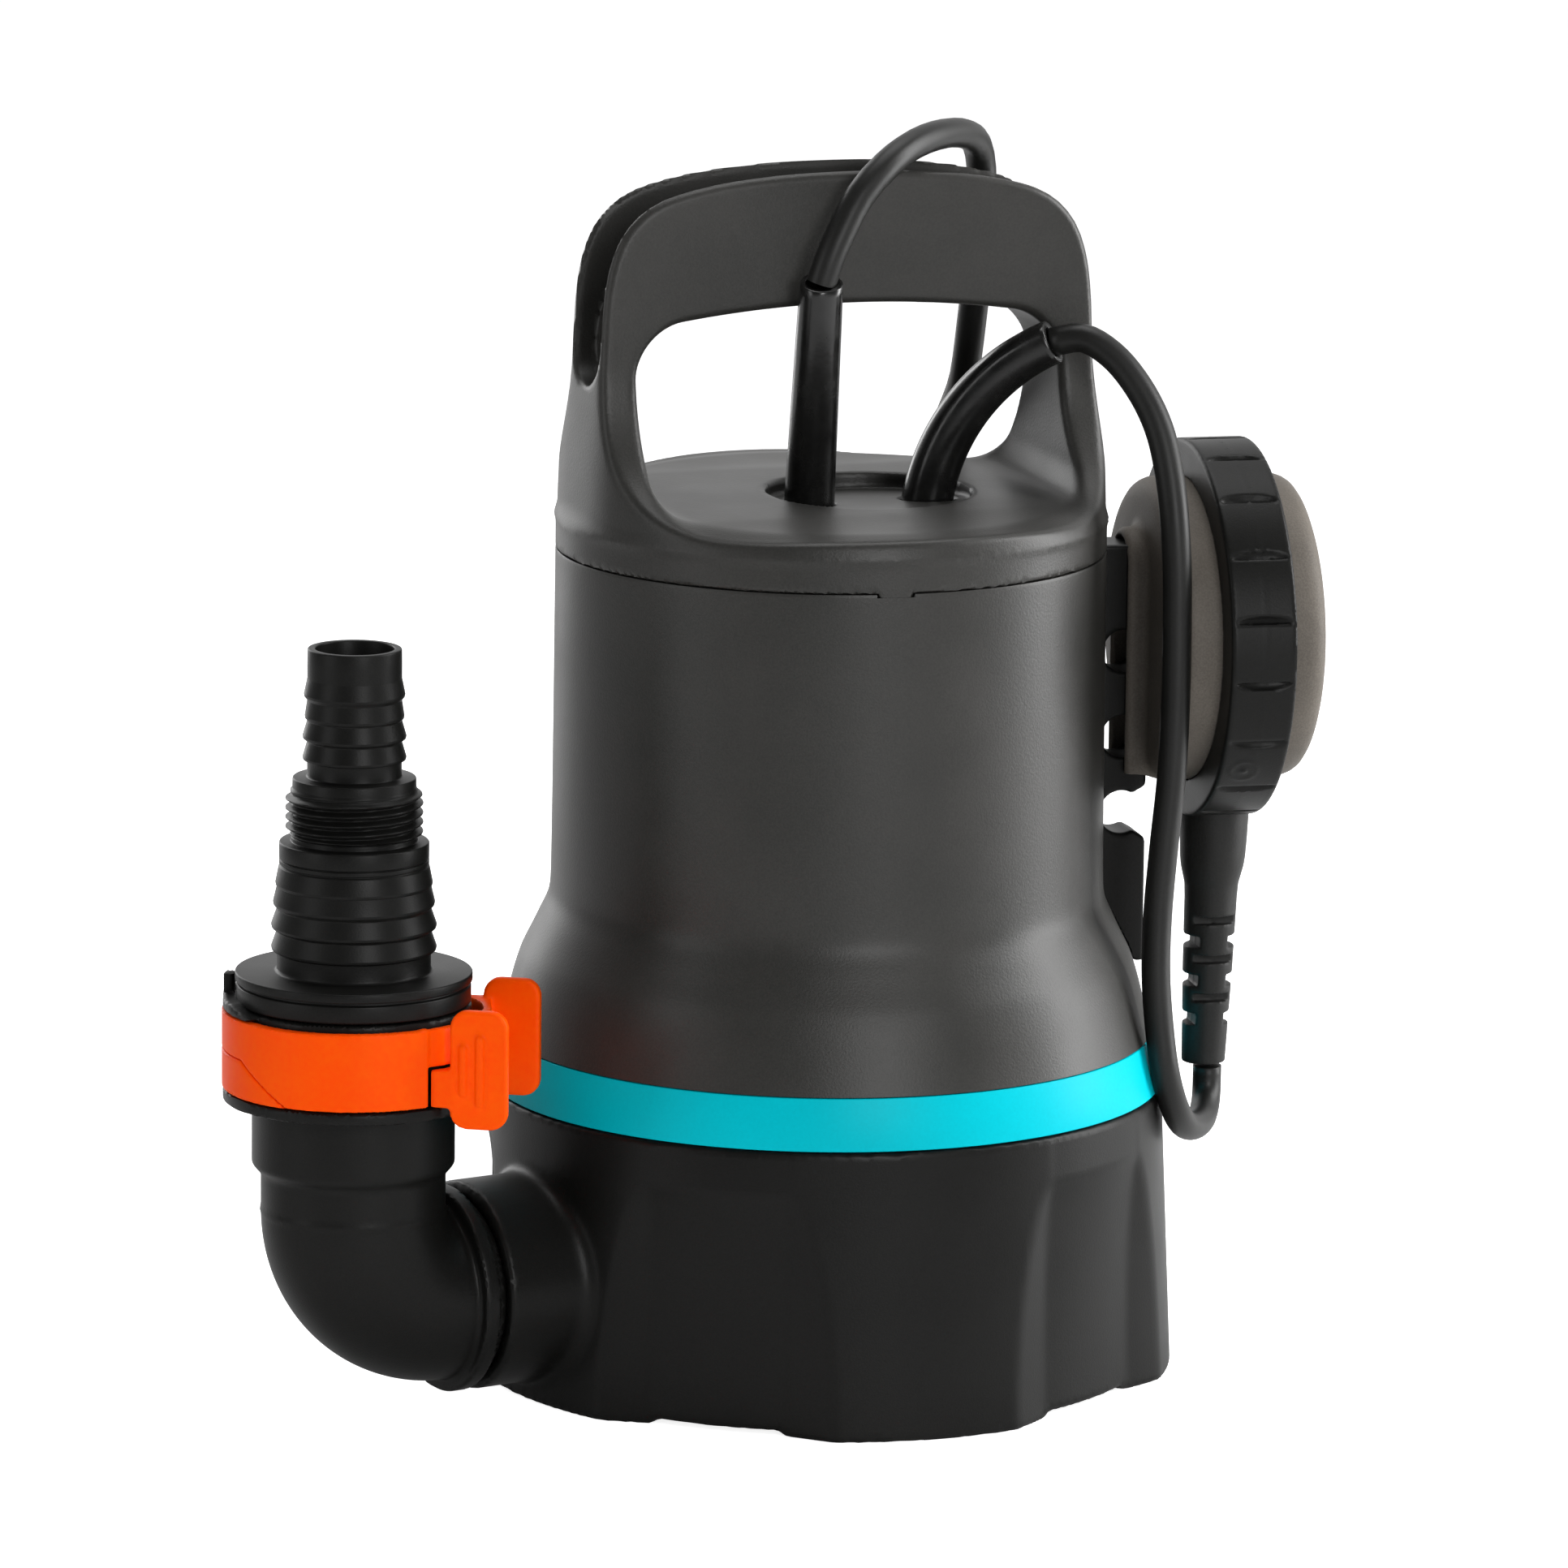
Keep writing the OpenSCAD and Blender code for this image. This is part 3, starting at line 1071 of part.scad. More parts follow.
// A piece of the clip ring between two angles, inner radius and height.
module ring_part(from, to, inner, z, h) translate([0, 0, z]) rotate([0, 0, from])
    rotate_extrude(angle = to - from) polygon([[inner, 0], [clip_r, 0], [clip_r, h], [inner, h]]);

// One jaw, drawn as the front one: it wraps the side at -90 degrees, and its upper arm
// crosses over to the finger tab on the other side.
module jaw(tooth) {
    ring_part(228, 317, socket_r + clip_gap, clip_z, clip_h);
    ring_part(136, 228, lap_r, clip_z + clip_h - half_h, half_h);
    // tooth that holds the nozzle
    translate([0, 0, tooth]) rotate([0, 0, 256]) rotate_extrude(angle = 28)
        polygon([[groove_r + 0.4, 0], [socket_r + clip_gap + 0.5, 0],
            [socket_r + clip_gap + 0.5, tooth_h], [groove_r + 0.4, tooth_h]]);
    arm = [[21.6, -22.2], [26.4, -17.6], [29.4, -12.2], [31.8, -6.5], [33, 0], [32.8, 6.5],
        [31.2, 12.5], [30, tab_spread - 1.4], [30, tab_spread + 1.3], [23.8, tab_spread + 1.9],
        [23.6, tab_spread + 0.3], [25.9, tab_spread - 1.8], [28.9, 12.8], [30.6, 7], [30.7, 0.5],
        [29.9, -5.5], [27.8, -11], [24.6, -16], [21.2, -20.6]];
    translate([0, 0, clip_z + clip_h - half_h]) linear_extrude(half_h) polygon(arm);
    translate([tab_reach - finger_w / 2, tab_spread - 1.5, clip_z + clip_h / 2 - finger_h / 2])
        cube([finger_w, 3, finger_h]);
}

module clip_front_jaw() color("#ff5a10") on_riser() rotate([0, 0, clip_turn - outlet_turn]) jaw(tooth_z);

// The rear jaw is the same shape turned upside down, so its arm crosses underneath;
// its tooth stays level with the front jaw's tooth.
module clip_rear_jaw() color("#ff5a10") on_riser() rotate([0, 0, clip_turn - outlet_turn])
    translate([0, 0, 2 * clip_z + clip_h]) mirror([0, 0, 1]) mirror([0, 1, 0])
        jaw(2 * clip_z + clip_h - tooth_z - tooth_h);

spigot_fit_r = socket_bore - 0.08;
spigot_low_z = ledge_z + 2;
groove_r = socket_r - 3.4;
thread_top_z = 157.7;
thread_turns = 5;

module nozzle_outline() polygon(concat(
    [[0, spigot_low_z], [spigot_fit_r, spigot_low_z],
     [spigot_fit_r, ledge_z + 3.6], [spigot_fit_r - 2.2, ledge_z + 3.6], [spigot_fit_r - 2.2, ledge_z + 6.2],
     [spigot_fit_r, ledge_z + 6.2], [spigot_fit_r, tooth_z - 0.6], [groove_r, tooth_z - 0.6],
     [groove_r, tooth_z + tooth_h + 0.6], [spigot_fit_r, tooth_z + tooth_h + 0.6],
     [spigot_fit_r, socket_top + 0.3], [socket_r - 0.2, socket_top + 0.3],
     [socket_r - 0.2, nozzle_flange_z - 1], [socket_r - 1, nozzle_flange_z - 1],
     [socket_r - 1, nozzle_flange_z], [nozzle_flange_r, nozzle_flange_z],
     [nozzle_flange_r, nozzle_flange_z + nozzle_flange_t], [wide_barb_r - 1.4, nozzle_flange_z + nozzle_flange_t]],
    [for (i = [0:3]) let (z = nozzle_flange_z + 7.9 + i * 5.25, r = wide_barb_r - [0, 0, 0.45, 1][i])
        each [[r - 1.2, z], [r, z + 0.3], [r, z + 1], [r - 1.3, z + 4.8]]],
    [[wide_barb_r - 2, nozzle_flange_z + 29.6], [wide_barb_r - 1.9, nozzle_flange_z + 34],
     [thread_r - 1.4, nozzle_flange_z + 34], [thread_r - 1.4, thread_top_z - thread_turns * thread_pitch - 0.5]],
    [for (i = [0:thread_turns - 1]) let (z = thread_top_z - (thread_turns - i) * thread_pitch)
        each [[thread_r - 1.4, z], [thread_r, z + 0.9], [thread_r, z + 1.4], [thread_r - 1.4, z + 2.25]]],
    [[thread_r - 1.4, thread_top_z + 2.3], [narrow_barb_r - 1, thread_top_z + 2.3],
     [narrow_barb_r - 1, thread_top_z + 6]],
    [for (i = [0:3]) let (z = thread_top_z + 6.8 + i * 5.1, r = narrow_barb_r - [0, 0, 0.5, 0.3][i])
        each [[r - 0.9, z], [r, z + 0.3], [r, z + 1], [r - 0.9, z + 4.6]]],
    [[narrow_barb_r - 1.1, nozzle_top_z - 4], [narrow_barb_r - 1.15, nozzle_top_z],
     [0, nozzle_top_z]]));

module hose_nozzle() color(plastic_black) on_riser() difference() {
    rotate_extrude() nozzle_outline();
    narrow = narrow_barb_r - 1.2 - nozzle_wall;
    translate([0, 0, spigot_low_z - 1]) cylinder(r = way_r + 2, h = nozzle_flange_z - spigot_low_z);
    translate([0, 0, nozzle_flange_z - 8]) cylinder(r = wide_barb_r - 4.2, h = 36);
    translate([0, 0, nozzle_flange_z + 27]) cylinder(r1 = wide_barb_r - 4.2, r2 = narrow, h = 22);
    translate([0, 0, nozzle_flange_z + 40]) cylinder(r = narrow, h = 80);
}

module nozzle_seal() color(rubber) on_riser() translate([0, 0, ledge_z + 4.9])
    rotate_extrude() translate([socket_bore - 1.15, 0]) circle(r = 1.05, $fn = 24);

// ---- the pieces -----------------------------------------------------------------------

pump_base();
suction_strainer();
strainer_screws();
volute_cover();
cover_screws();
impeller();
impeller_nut();
motor_shaft();
shaft_seal();
bearing_carrier();
carrier_screws();
can_seal();
lower_bearing();
motor_can();
stator_core();
stator_windings();
rotor_core();
bearing_bracket();
upper_bearing();
capacitor_saddle();
run_capacitor();
terminal_block();
lead_wires();
base_seal();
trim_band();
motor_housing();
tie_bolts();
lid_seal();
handle_lid();
cable_clamp();
clamp_screws();
float_rail();
rail_screws();
mains_sleeve();
float_sleeve();
mains_cord();
mains_coil();
coil_tie();
mains_plug();
float_cord();
float_gland();
float_inner_cap();
float_outer_cap();
float_ring();
float_gasket();
ball_cage();
switch_ball();
microswitch();
outlet_elbow();
elbow_seal();
clip_front_jaw();
clip_rear_jaw();
hose_nozzle();
nozzle_seal();
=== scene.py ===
import math

import bpy
import numpy as np
from mathutils import Matrix


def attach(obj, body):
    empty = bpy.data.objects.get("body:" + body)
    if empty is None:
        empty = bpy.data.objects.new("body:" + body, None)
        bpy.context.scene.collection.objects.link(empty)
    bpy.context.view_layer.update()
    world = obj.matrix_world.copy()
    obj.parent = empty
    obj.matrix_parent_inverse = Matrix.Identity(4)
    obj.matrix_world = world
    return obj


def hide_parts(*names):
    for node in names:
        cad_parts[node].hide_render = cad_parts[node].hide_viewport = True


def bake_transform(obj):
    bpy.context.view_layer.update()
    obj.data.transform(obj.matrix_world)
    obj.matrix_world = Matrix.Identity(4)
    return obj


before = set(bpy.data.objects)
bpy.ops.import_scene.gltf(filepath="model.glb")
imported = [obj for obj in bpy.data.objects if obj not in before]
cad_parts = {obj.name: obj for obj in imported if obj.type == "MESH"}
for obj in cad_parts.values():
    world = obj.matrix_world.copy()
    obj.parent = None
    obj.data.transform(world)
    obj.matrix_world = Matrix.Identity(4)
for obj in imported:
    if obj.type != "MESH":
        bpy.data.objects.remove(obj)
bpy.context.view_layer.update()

# ---- camera ---------------------------------------------------------------------------------
# A long lens, 2.35 m away and a little above the handle, looks down at the pump, which is
# turned 20 degrees out of the picture plane. The head is rolled by less than a degree.
MM = 0.001
camera_away, camera_height = 2351.9, 614.8
camera_pitch, camera_roll = math.radians(11.286), math.radians(0.73)
lens_mm, sensor_mm, shift_right = 222.05, 36.0, -0.02806
view_right = np.array([math.cos(math.radians(20)), -math.sin(math.radians(20)), 0])
to_camera = np.array([-math.sin(math.radians(20)), -math.cos(math.radians(20)), 0])
look = -to_camera * math.cos(camera_pitch) - np.array([0, 0, math.sin(camera_pitch)])
upright = np.cross(view_right, look)
side = view_right * math.cos(camera_roll) + upright * math.sin(camera_roll)
above = upright * math.cos(camera_roll) - view_right * math.sin(camera_roll)
camera_data = bpy.data.cameras.new("camera")
camera_data.lens, camera_data.sensor_width = lens_mm, sensor_mm
camera_data.shift_x, camera_data.clip_end = shift_right, 50
camera = bpy.data.objects.new("camera", camera_data)
bpy.context.collection.objects.link(camera)
stand = to_camera * camera_away + np.array([0, 0, camera_height])
axes = np.column_stack([side, above, -look, stand * MM])
camera.matrix_world = Matrix([*axes.tolist(), [0, 0, 0, 1]])
bpy.context.scene.camera = camera

# ---- mains cord -----------------------------------------------------------------------------
# A rubber-sheathed mains lead, 9.6 m long and 7.4 mm thick. It leaves its sleeve, arches over the
# handle, hangs down behind the housing and is stored there as a tied coil of 24 turns.


def linear(code):
    """A hex colour as it is seen, turned to linear light."""
    shown = np.array([int(code[i : i + 2], 16) for i in (1, 3, 5)]) / 255
    low, high = shown / 12.92, ((shown + 0.055) / 1.055) ** 2.4
    return (*np.where(shown <= 0.04045, low, high), 1)


def add(tree, kind, links=(), **settings):
    """One shader node: settings set its properties or sockets, links feed its inputs."""
    node = tree.nodes.new("ShaderNode" + kind)
    for name, value in settings.items():
        if hasattr(node, name):
            setattr(node, name, value)
        else:
            node.inputs[name.replace("_", " ")].default_value = value
    for name, source in dict(links).items():
        tree.links.new(source, node.inputs[name])
    return node


def surface(name, colour, roughness, **settings):
    """A new material with one Principled shader, and its node tree to build on."""
    made = bpy.data.materials.new(name)
    made.use_nodes = True
    tree = made.node_tree
    tree.nodes.clear()
    shader = add(tree, "BsdfPrincipled", Roughness=roughness, **settings)
    shader.inputs["Base Color"].default_value = linear(colour)
    out = add(tree, "OutputMaterial", {"Surface": shader.outputs["BSDF"]})
    out.is_active_output = True
    return made, tree, shader


def moulded(name, dark, pale, roughness, grain, depth, patch=18.0, spread=0.05, ior=1.5):
    """Injection-moulded plastic or rubber. grain is the size in mm of the texture that the
    tool left, depth its height in mm; dark and pale are the ends of its slow mottling,
    patch mm across, and the gloss wanders by spread."""
    made, tree, shader = surface(name, dark, roughness, IOR=ior)
    where = add(tree, "TexCoord").outputs["Object"]
    slow = add(tree, "TexNoise", {"Vector": where}, Scale=1 / (patch * MM), Detail=3.0)
    speck = add(tree, "TexNoise", {"Vector": where}, Scale=1 / (grain * MM), Detail=2.0)
    both = add(tree, "Mix", data_type="FLOAT")
    both.inputs[0].default_value = 0.5
    tree.links.new(slow.outputs[0], both.inputs[2])
    tree.links.new(speck.outputs[0], both.inputs[3])
    ramp = add(tree, "ValToRGB", {"Fac": both.outputs[0]})
    ramp.color_ramp.elements[0].position, ramp.color_ramp.elements[1].position = 0.35, 0.65
    ramp.color_ramp.elements[0].color = linear(dark)
    ramp.color_ramp.elements[1].color = linear(pale)
    tree.links.new(ramp.outputs["Color"], shader.inputs["Base Color"])
    gloss = add(
        tree, "MapRange", {"Value": slow.outputs[0]},
        From_Min=0.3, From_Max=0.7, To_Min=roughness - spread, To_Max=roughness + spread,
    )
    tree.links.new(gloss.outputs["Result"], shader.inputs["Roughness"])
    bump = add(tree, "Bump", {"Height": speck.outputs[0]}, Strength=1.0, Distance=depth * MM)
    tree.links.new(bump.outputs["Normal"], shader.inputs["Normal"])
    return made


def smoothed(points, spacing):
    """Centripetal Catmull-Rom curve through the points, at about that spacing in mm."""
    p = np.asarray(points, float)
    p = np.vstack([2 * p[0] - p[1], p, 2 * p[-1] - p[-2]])
    parts = []
    for a, b, c, d in zip(p, p[1:], p[2:], p[3:]):
        t1 = np.linalg.norm(b - a) ** 0.5
        t2 = t1 + np.linalg.norm(c - b) ** 0.5
        t3 = t2 + np.linalg.norm(d - c) ** 0.5
        steps = max(2, int(np.linalg.norm(c - b) / spacing))
        t = (t1 + (t2 - t1) * np.arange(steps) / steps)[:, None]
        ab = (t1 - t) / t1 * a + t / t1 * b
        bc = (t2 - t) / (t2 - t1) * b + (t - t1) / (t2 - t1) * c
        cd = (t3 - t) / (t3 - t2) * c + (t - t2) / (t3 - t2) * d
        abc = (t2 - t) / t2 * ab + t / t2 * bc
        bcd = (t3 - t) / (t3 - t1) * bc + (t - t1) / (t3 - t1) * cd
        parts.append((t2 - t) / (t2 - t1) * abc + (t - t1) / (t2 - t1) * bcd)
    return np.vstack([*parts, p[-2:-1]])


mains_d = 7.4
mains_tip = np.array([-11.18, -21.47, 274.18])
mains_route = [
    mains_tip, [-9, -22, 281], [-6, -21.5, 287], [-1, -20, 295], [7, -17, 302],
    [17, -10, 306], [28, -1, 307], [37, 7.6, 305.4], [42.3, 14.3, 302], [45, 18, 295.4],
    [45, 18, 282], [44.5, 18.5, 270], [44.5, 22, 256], [45.5, 29, 242], [47, 38, 234.5],
    [48.5, 48, 227], [49, 55, 217], [48.5, 60, 203], [47.5, 64, 182], [46, 69.5, 158],
    [45, 75, 132], [44, 79, 110], [43.5, 81.5, 90], [43.5, 83.5, 72], [42.5, 85.5, 56],
    [39.5, 86, 43], [33.2, 87.2, 33.8],
]
coil_turns, coil_mid_r, coil_pitch, coil_low_z = 24, 60.1, 7.9, 4.5
coil_half_w = 3 * coil_pitch
loops_per_layer, climb_turns, steps_per_turn = 6, 0.5, 24
coil_in_turn, coil_away, coil_turn = math.radians(240), 176.5, math.radians(70)
coil_centre = coil_away * np.array([math.cos(coil_turn), math.sin(coil_turn), 0])


def coil_point(t):
    """The coil after t turns: a flat spiral that runs in and out by three pitches at a
    steady rate, and steps down one layer at each reversal."""
    saw = np.abs((t / loops_per_layer) % 2 - 1) * 2 - 1
    before = climb_turns / 2
    climbs = sum(np.clip((t - n * loops_per_layer + before) / climb_turns, 0, 1) for n in (1, 2, 3))
    a, r = coil_in_turn - 2 * math.pi * t, coil_mid_r + coil_half_w * saw
    z = coil_low_z + coil_pitch * (3 - climbs)
    return coil_centre + np.stack([r * np.cos(a), r * np.sin(a), z], -1)


turns = np.linspace(0, coil_turns, steps_per_turn * coil_turns + 1)
coil_start = coil_point(np.array(0.0)) - mains_d * np.array(
    [math.sin(coil_in_turn), -math.cos(coil_in_turn), 0]
)
coil_tail = [
    [-3.9, 106.2], [-30.3, 121.5], [-55.1, 135.8], [-63, 142.6],
    [-68.3, 151.6], [-70.1, 161.8], [-68.3, 172],
]
coil_tail = np.column_stack([coil_tail, np.full(len(coil_tail), coil_low_z)])
coil_last = coil_tail[-1]
mains_line = smoothed([*mains_route, coil_start, *coil_point(turns), *coil_tail], 4.0)
lead = bpy.data.curves.new("mains_lead", "CURVE")
lead.dimensions, lead.bevel_depth, lead.bevel_resolution = "3D", mains_d / 2 * MM, 6
lead.use_fill_caps = True
spline = lead.splines.new("POLY")
spline.points.add(len(mains_line) - 1)
spline_rows = np.column_stack([mains_line * MM, np.ones(len(mains_line))])
spline.points.foreach_set("co", spline_rows.ravel())
spline.use_smooth = True
mains_lead = bpy.data.objects.new("mains_lead", lead)
bpy.context.collection.objects.link(mains_lead)
# Soft black rubber sheath, extruded: satin, with a faint drag grain.
cord_rubber = moulded("extruded_rubber", "#141413", "#1c1c1b", 0.44, 0.5, 0.02, 30.0, 0.06, 1.35)
lead.materials.append(cord_rubber)
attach(mains_lead, "pump")
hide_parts("mains_cord", "mains_coil")

# ---- float cord -----------------------------------------------------------------------------
# The float's own lead, 7.2 mm thick. It leaves its sleeve at the top, hangs down beside the
# float and turns up into the gland under it.


def mesh_object(name, points, quads, material, keep_sharp=40):
    """A smooth mesh object from points in mm and four-cornered faces. Edges that turn by
    more than keep_sharp degrees stay sharp."""
    mesh = bpy.data.meshes.new(name)
    points, quads = np.asarray(points, np.float32), np.asarray(quads, np.int32)
    mesh.vertices.add(len(points))
    mesh.vertices.foreach_set("co", (points * MM).ravel())
    mesh.loops.add(quads.size)
    mesh.loops.foreach_set("vertex_index", quads.ravel())
    mesh.polygons.add(len(quads))
    mesh.polygons.foreach_set("loop_start", np.arange(len(quads)) * quads.shape[1])
    mesh.update(calc_edges=True)
    mesh.validate()
    mesh.polygons.foreach_set("use_smooth", np.ones(len(mesh.polygons), bool))
    mesh.set_sharp_from_angle(angle=math.radians(keep_sharp))
    mesh.materials.append(material)
    made = bpy.data.objects.new(name, mesh)
    bpy.context.collection.objects.link(made)
    return made


def grid_quads(rows, columns, wrap_rows=False, wrap_columns=True):
    """Four-cornered faces of a grid of points, closed round where it wraps."""
    i = np.arange(rows if wrap_rows else rows - 1)[:, None]
    j = np.arange(columns if wrap_columns else columns - 1)[None, :]
    n, m = (i + 1) % rows, (j + 1) % columns
    quads = [i * columns + j, i * columns + m, n * columns + m, n * columns + j]
    return np.stack(np.broadcast_arrays(*quads), -1).reshape(-1, 4)


def tube_frames(path):
    """Unit tangents of a path, and two vectors across it that are carried without twist."""
    path = np.asarray(path, float)
    along = np.gradient(path, axis=0)
    along /= np.linalg.norm(along, axis=1)[:, None]
    across = np.empty_like(path)
    guide = np.array([0.0, 1.0, 0.0]) if abs(along[0][1]) < 0.9 else np.array([1.0, 0, 0])
    for k, t in enumerate(along):
        guide = guide - t * (guide @ t)
        guide = guide / np.linalg.norm(guide)
        across[k] = guide
    return along, across, np.cross(along, across)


def swept(path, radius, sides):
    """Tube round a path: radius is one number, or an array over path points and angles.
    Both ends close in a low dome of three rings."""
    path = np.asarray(path, float)
    along, u, w = tube_frames(path)
    a = 2 * math.pi * np.arange(sides) / sides
    r = np.broadcast_to(radius, (len(path), sides))
    ring = path[:, None] + r[..., None] * (
        np.cos(a)[:, None] * u[:, None] + np.sin(a)[:, None] * w[:, None]
    )
    caps = []
    for end, sign in ((0, -1), (-1, 1)):
        for share, lift in ((0.94, 0.1), (0.6, 0.3), (0.02, 0.35)):
            caps.append(path[end] + (ring[end] - path[end]) * share + sign * lift * along[end])
    rows = np.stack([caps[2], caps[1], caps[0], *ring, caps[3], caps[4], caps[5]])
    return rows.reshape(-1, 3), grid_quads(len(rows), sides)


float_d = 7.2
float_tip = np.array([49.66, -20.72, 257.32])
gland_tip = np.array([98.46, -11.22, 70.0])
float_route = [
    float_tip, [56, -24.8, 258.6], [61.8, -29.2, 255], [67, -34.6, 247.5], [70.6, -39.4, 238],
    [72.4, -43, 226], [73.4, -45.8, 208], [73.7, -46.4, 190], [73.7, -46.4, 172],
    [73.2, -46, 153], [71.7, -45.4, 134], [70.6, -45, 117], [70.3, -45.4, 102],
    [71.2, -46.2, 88.5], [72.6, -46.8, 78], [76.4, -43.4, 68.6], [82.3, -35.8, 61.6],
    [89.4, -26, 58.4], [94.8, -17.8, 58.6], [97.6, -13, 61.8], gland_tip - [0, 0, 4.5],
    gland_tip - [0, 0, 0.1],
]
float_line = smoothed(float_route, 2.0)
float_lead = mesh_object("float_lead", *swept(float_line, float_d / 2, 24), cord_rubber, 80)
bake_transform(float_lead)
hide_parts("float_cord")

# ---- pump base ------------------------------------------------------------------------------
# The black foot of the pump, one moulding with the outlet collar. Five panels are pressed
# into its flared wall; each runs out at the top, and water enters under its lower edge.


def soft_union(a, b, r):
    """The nearer of two distances, with a fillet of about r where both are close."""
    h = np.maximum(r - np.abs(a - b), 0) / r
    return np.minimum(a, b) - h * h * r / 4


def soft_cut(a, b, r):
    """What is inside both distances, with an edge rounded by about r."""
    return -soft_union(-a, -b, r)


def round_corner(a, b, r):
    """Inside both a and b, where two square walls meet in an exact arc of radius r."""
    return np.minimum(np.maximum(a, b), -r) + np.hypot(np.maximum(a + r, 0), np.maximum(b + r, 0))


def skin(distance, low, high, step, settle=3):
    """The surface where a distance function is zero, as surface nets: each grid cell that
    the surface crosses gets one point, at the mean of its edge crossings, each crossed grid
    edge one four-cornered face, and the points then settle onto the surface."""
    lines = [np.arange(a, b + step, step) for a, b in zip(low, high)]
    x, y, z = lines[0][:, None, None], lines[1][None, :, None], lines[2][None, None, :]
    shape = tuple(len(line) for line in lines)
    f = np.broadcast_to(distance(x, y, z), shape).astype(np.float32)
    inside = f < 0
    cells = tuple(n - 1 for n in shape)
    total, count = np.zeros((*cells, 3), np.float32), np.zeros(cells, np.float32)
    crossed = []
    for axis in range(3):
        a = [slice(None)] * 3
        b = [slice(None)] * 3
        a[axis], b[axis] = slice(None, -1), slice(1, None)
        fa, fb = f[tuple(a)], f[tuple(b)]
        cross = inside[tuple(a)] != inside[tuple(b)]
        t = np.where(cross, fa / np.where(cross, fa - fb, 1), 0)
        crossed.append(cross)
        others = [k for k in range(3) if k != axis]
        for p in (0, 1):
            for q in (0, 1):
                s = [slice(None)] * 3
                s[others[0]] = slice(p, shape[others[0]] - 1 + p)
                s[others[1]] = slice(q, shape[others[1]] - 1 + q)
                c = cross[tuple(s)]
                count += c
                total[..., axis] += t[tuple(s)]
                total[..., others[0]] += c * p
                total[..., others[1]] += c * q
    live = count > 0
    index = np.full(cells, -1, np.int64)
    index[live] = np.arange(live.sum())
    corner = np.argwhere(live)
    points = (corner + total[live] / count[live][:, None]) * step + np.array(low)
    quads = []
    for axis in range(3):
        one, two = (axis + 1) % 3, (axis + 2) % 3
        cross = crossed[axis].copy()
        for k in (one, two):
            edge = [slice(None)] * 3
            edge[k] = [0, -1]
            cross[tuple(edge)] = False
        at = np.argwhere(cross)
        out = inside[tuple(at.T)]
        ring = []
        for p, q in ((-1, -1), (0, -1), (0, 0), (-1, 0)):
            c = at.copy()
            c[:, one] += p
            c[:, two] += q
            ring.append(index[tuple(c.T)])
        ring = np.stack(ring, 1)
        ring[~out] = ring[~out][:, ::-1]
        quads.append(ring)
    tiny = step * 0.02
    for _ in range(settle):
        px, py, pz = points.T
        value = distance(px, py, pz)
        slope = np.stack([
            distance(px + tiny, py, pz) - distance(px - tiny, py, pz),
            distance(px, py + tiny, pz) - distance(px, py - tiny, pz),
            distance(px, py, pz + tiny) - distance(px, py, pz - tiny),
        ], 1) / (2 * tiny)
        move = -slope * (value / np.maximum((slope**2).sum(1), 0.05))[:, None]
        far = np.linalg.norm(move, axis=1)[:, None]
        points = points + move * np.minimum(1, 0.5 * step / np.maximum(far, 1e-9))
    return points, np.vstack(quads)


coarse = 1.0
foot_r, base_top_r, base_h, base_wall, ledge_w = 87.5, 84.05, 71.15, 3.0, 3.4
panel_deep, panel_h, panel_half, panel_mid_r, panel_lean = 5.0, 60.0, math.radians(12.5), 86, 0.42
panel_turns = [math.radians(a) for a in (232, 304, 16, 88, 160)]
outlet_turn, outlet_z, collar_r, collar_end = math.radians(192), 30.4, 25.65, 104.3
collar_start, collar_bore_r, collar_bore_start = 74, 22.1, 60
plate_z, plate_t, spigot_r, spigot_wall, spigot_top = 52.0, 4.0, 77.8, 2.8, 88.0
shaft_hole_r, seal_seat_r, seal_seat_z = 9, 13.1, plate_z + 9


def base_distance(x, y, z):
    """A flared shell with a plate across it and a spigot on top. Each panel is a floor that
    sinks towards the foot, between two walls that lean out by 23 degrees."""
    r, a = np.hypot(x, y), np.arctan2(y, x)
    side_r = foot_r - (foot_r - base_top_r) * z / base_h
    sunk = panel_deep * np.clip(1 - (np.clip(z, 0, None) / panel_h) ** 2, 1e-4, None) ** 0.62
    walls, cut_low = side_r, np.zeros_like(r)
    for turn in panel_turns:
        off = np.abs(np.angle(np.exp(1j * (a - turn))))
        s = (off - panel_half) * panel_mid_r
        climb = 0.5 * (s + np.sqrt(s * s + 2.0))
        walls = soft_union(walls, side_r - sunk + panel_lean * climb, 0.8)
        cut_low = np.maximum(cut_low, np.clip(-s / 2.5, 0, 1))
    outside = (r - walls) * 0.9
    shell = round_corner(outside, z - base_h, 0.5)
    shell = soft_cut(shell, 1.5 * cut_low - z, 1.0)
    hollow_r = foot_r - base_wall - panel_deep - (foot_r - base_top_r - ledge_w) * z / base_h
    below = round_corner(r - hollow_r, z - plate_z, 1.5)
    above = np.maximum(r - (base_top_r - base_wall), plate_z + plate_t - z)
    shell = np.maximum(shell, -np.minimum(below, above))
    spigot = np.maximum(r - spigot_r, spigot_r - spigot_wall - r)
    spigot = np.maximum(spigot, np.maximum(z - spigot_top, plate_z + 1 - z))
    shell = np.minimum(shell, spigot)
    shell = np.maximum(shell, np.where(z > seal_seat_z, seal_seat_r, shaft_hole_r) - r)
    out = x * math.cos(outlet_turn) + y * math.sin(outlet_turn)
    across = -x * math.sin(outlet_turn) + y * math.cos(outlet_turn)
    rho = np.hypot(across, z - outlet_z)
    collar = round_corner(rho - collar_r, out - collar_end, 0.9)
    collar = np.maximum(collar, collar_start - out)
    shell = soft_union(shell, collar, 3.2)
    way = np.maximum(rho - collar_bore_r, collar_bore_start - out)
    return soft_cut(shell, -way, 0.6)


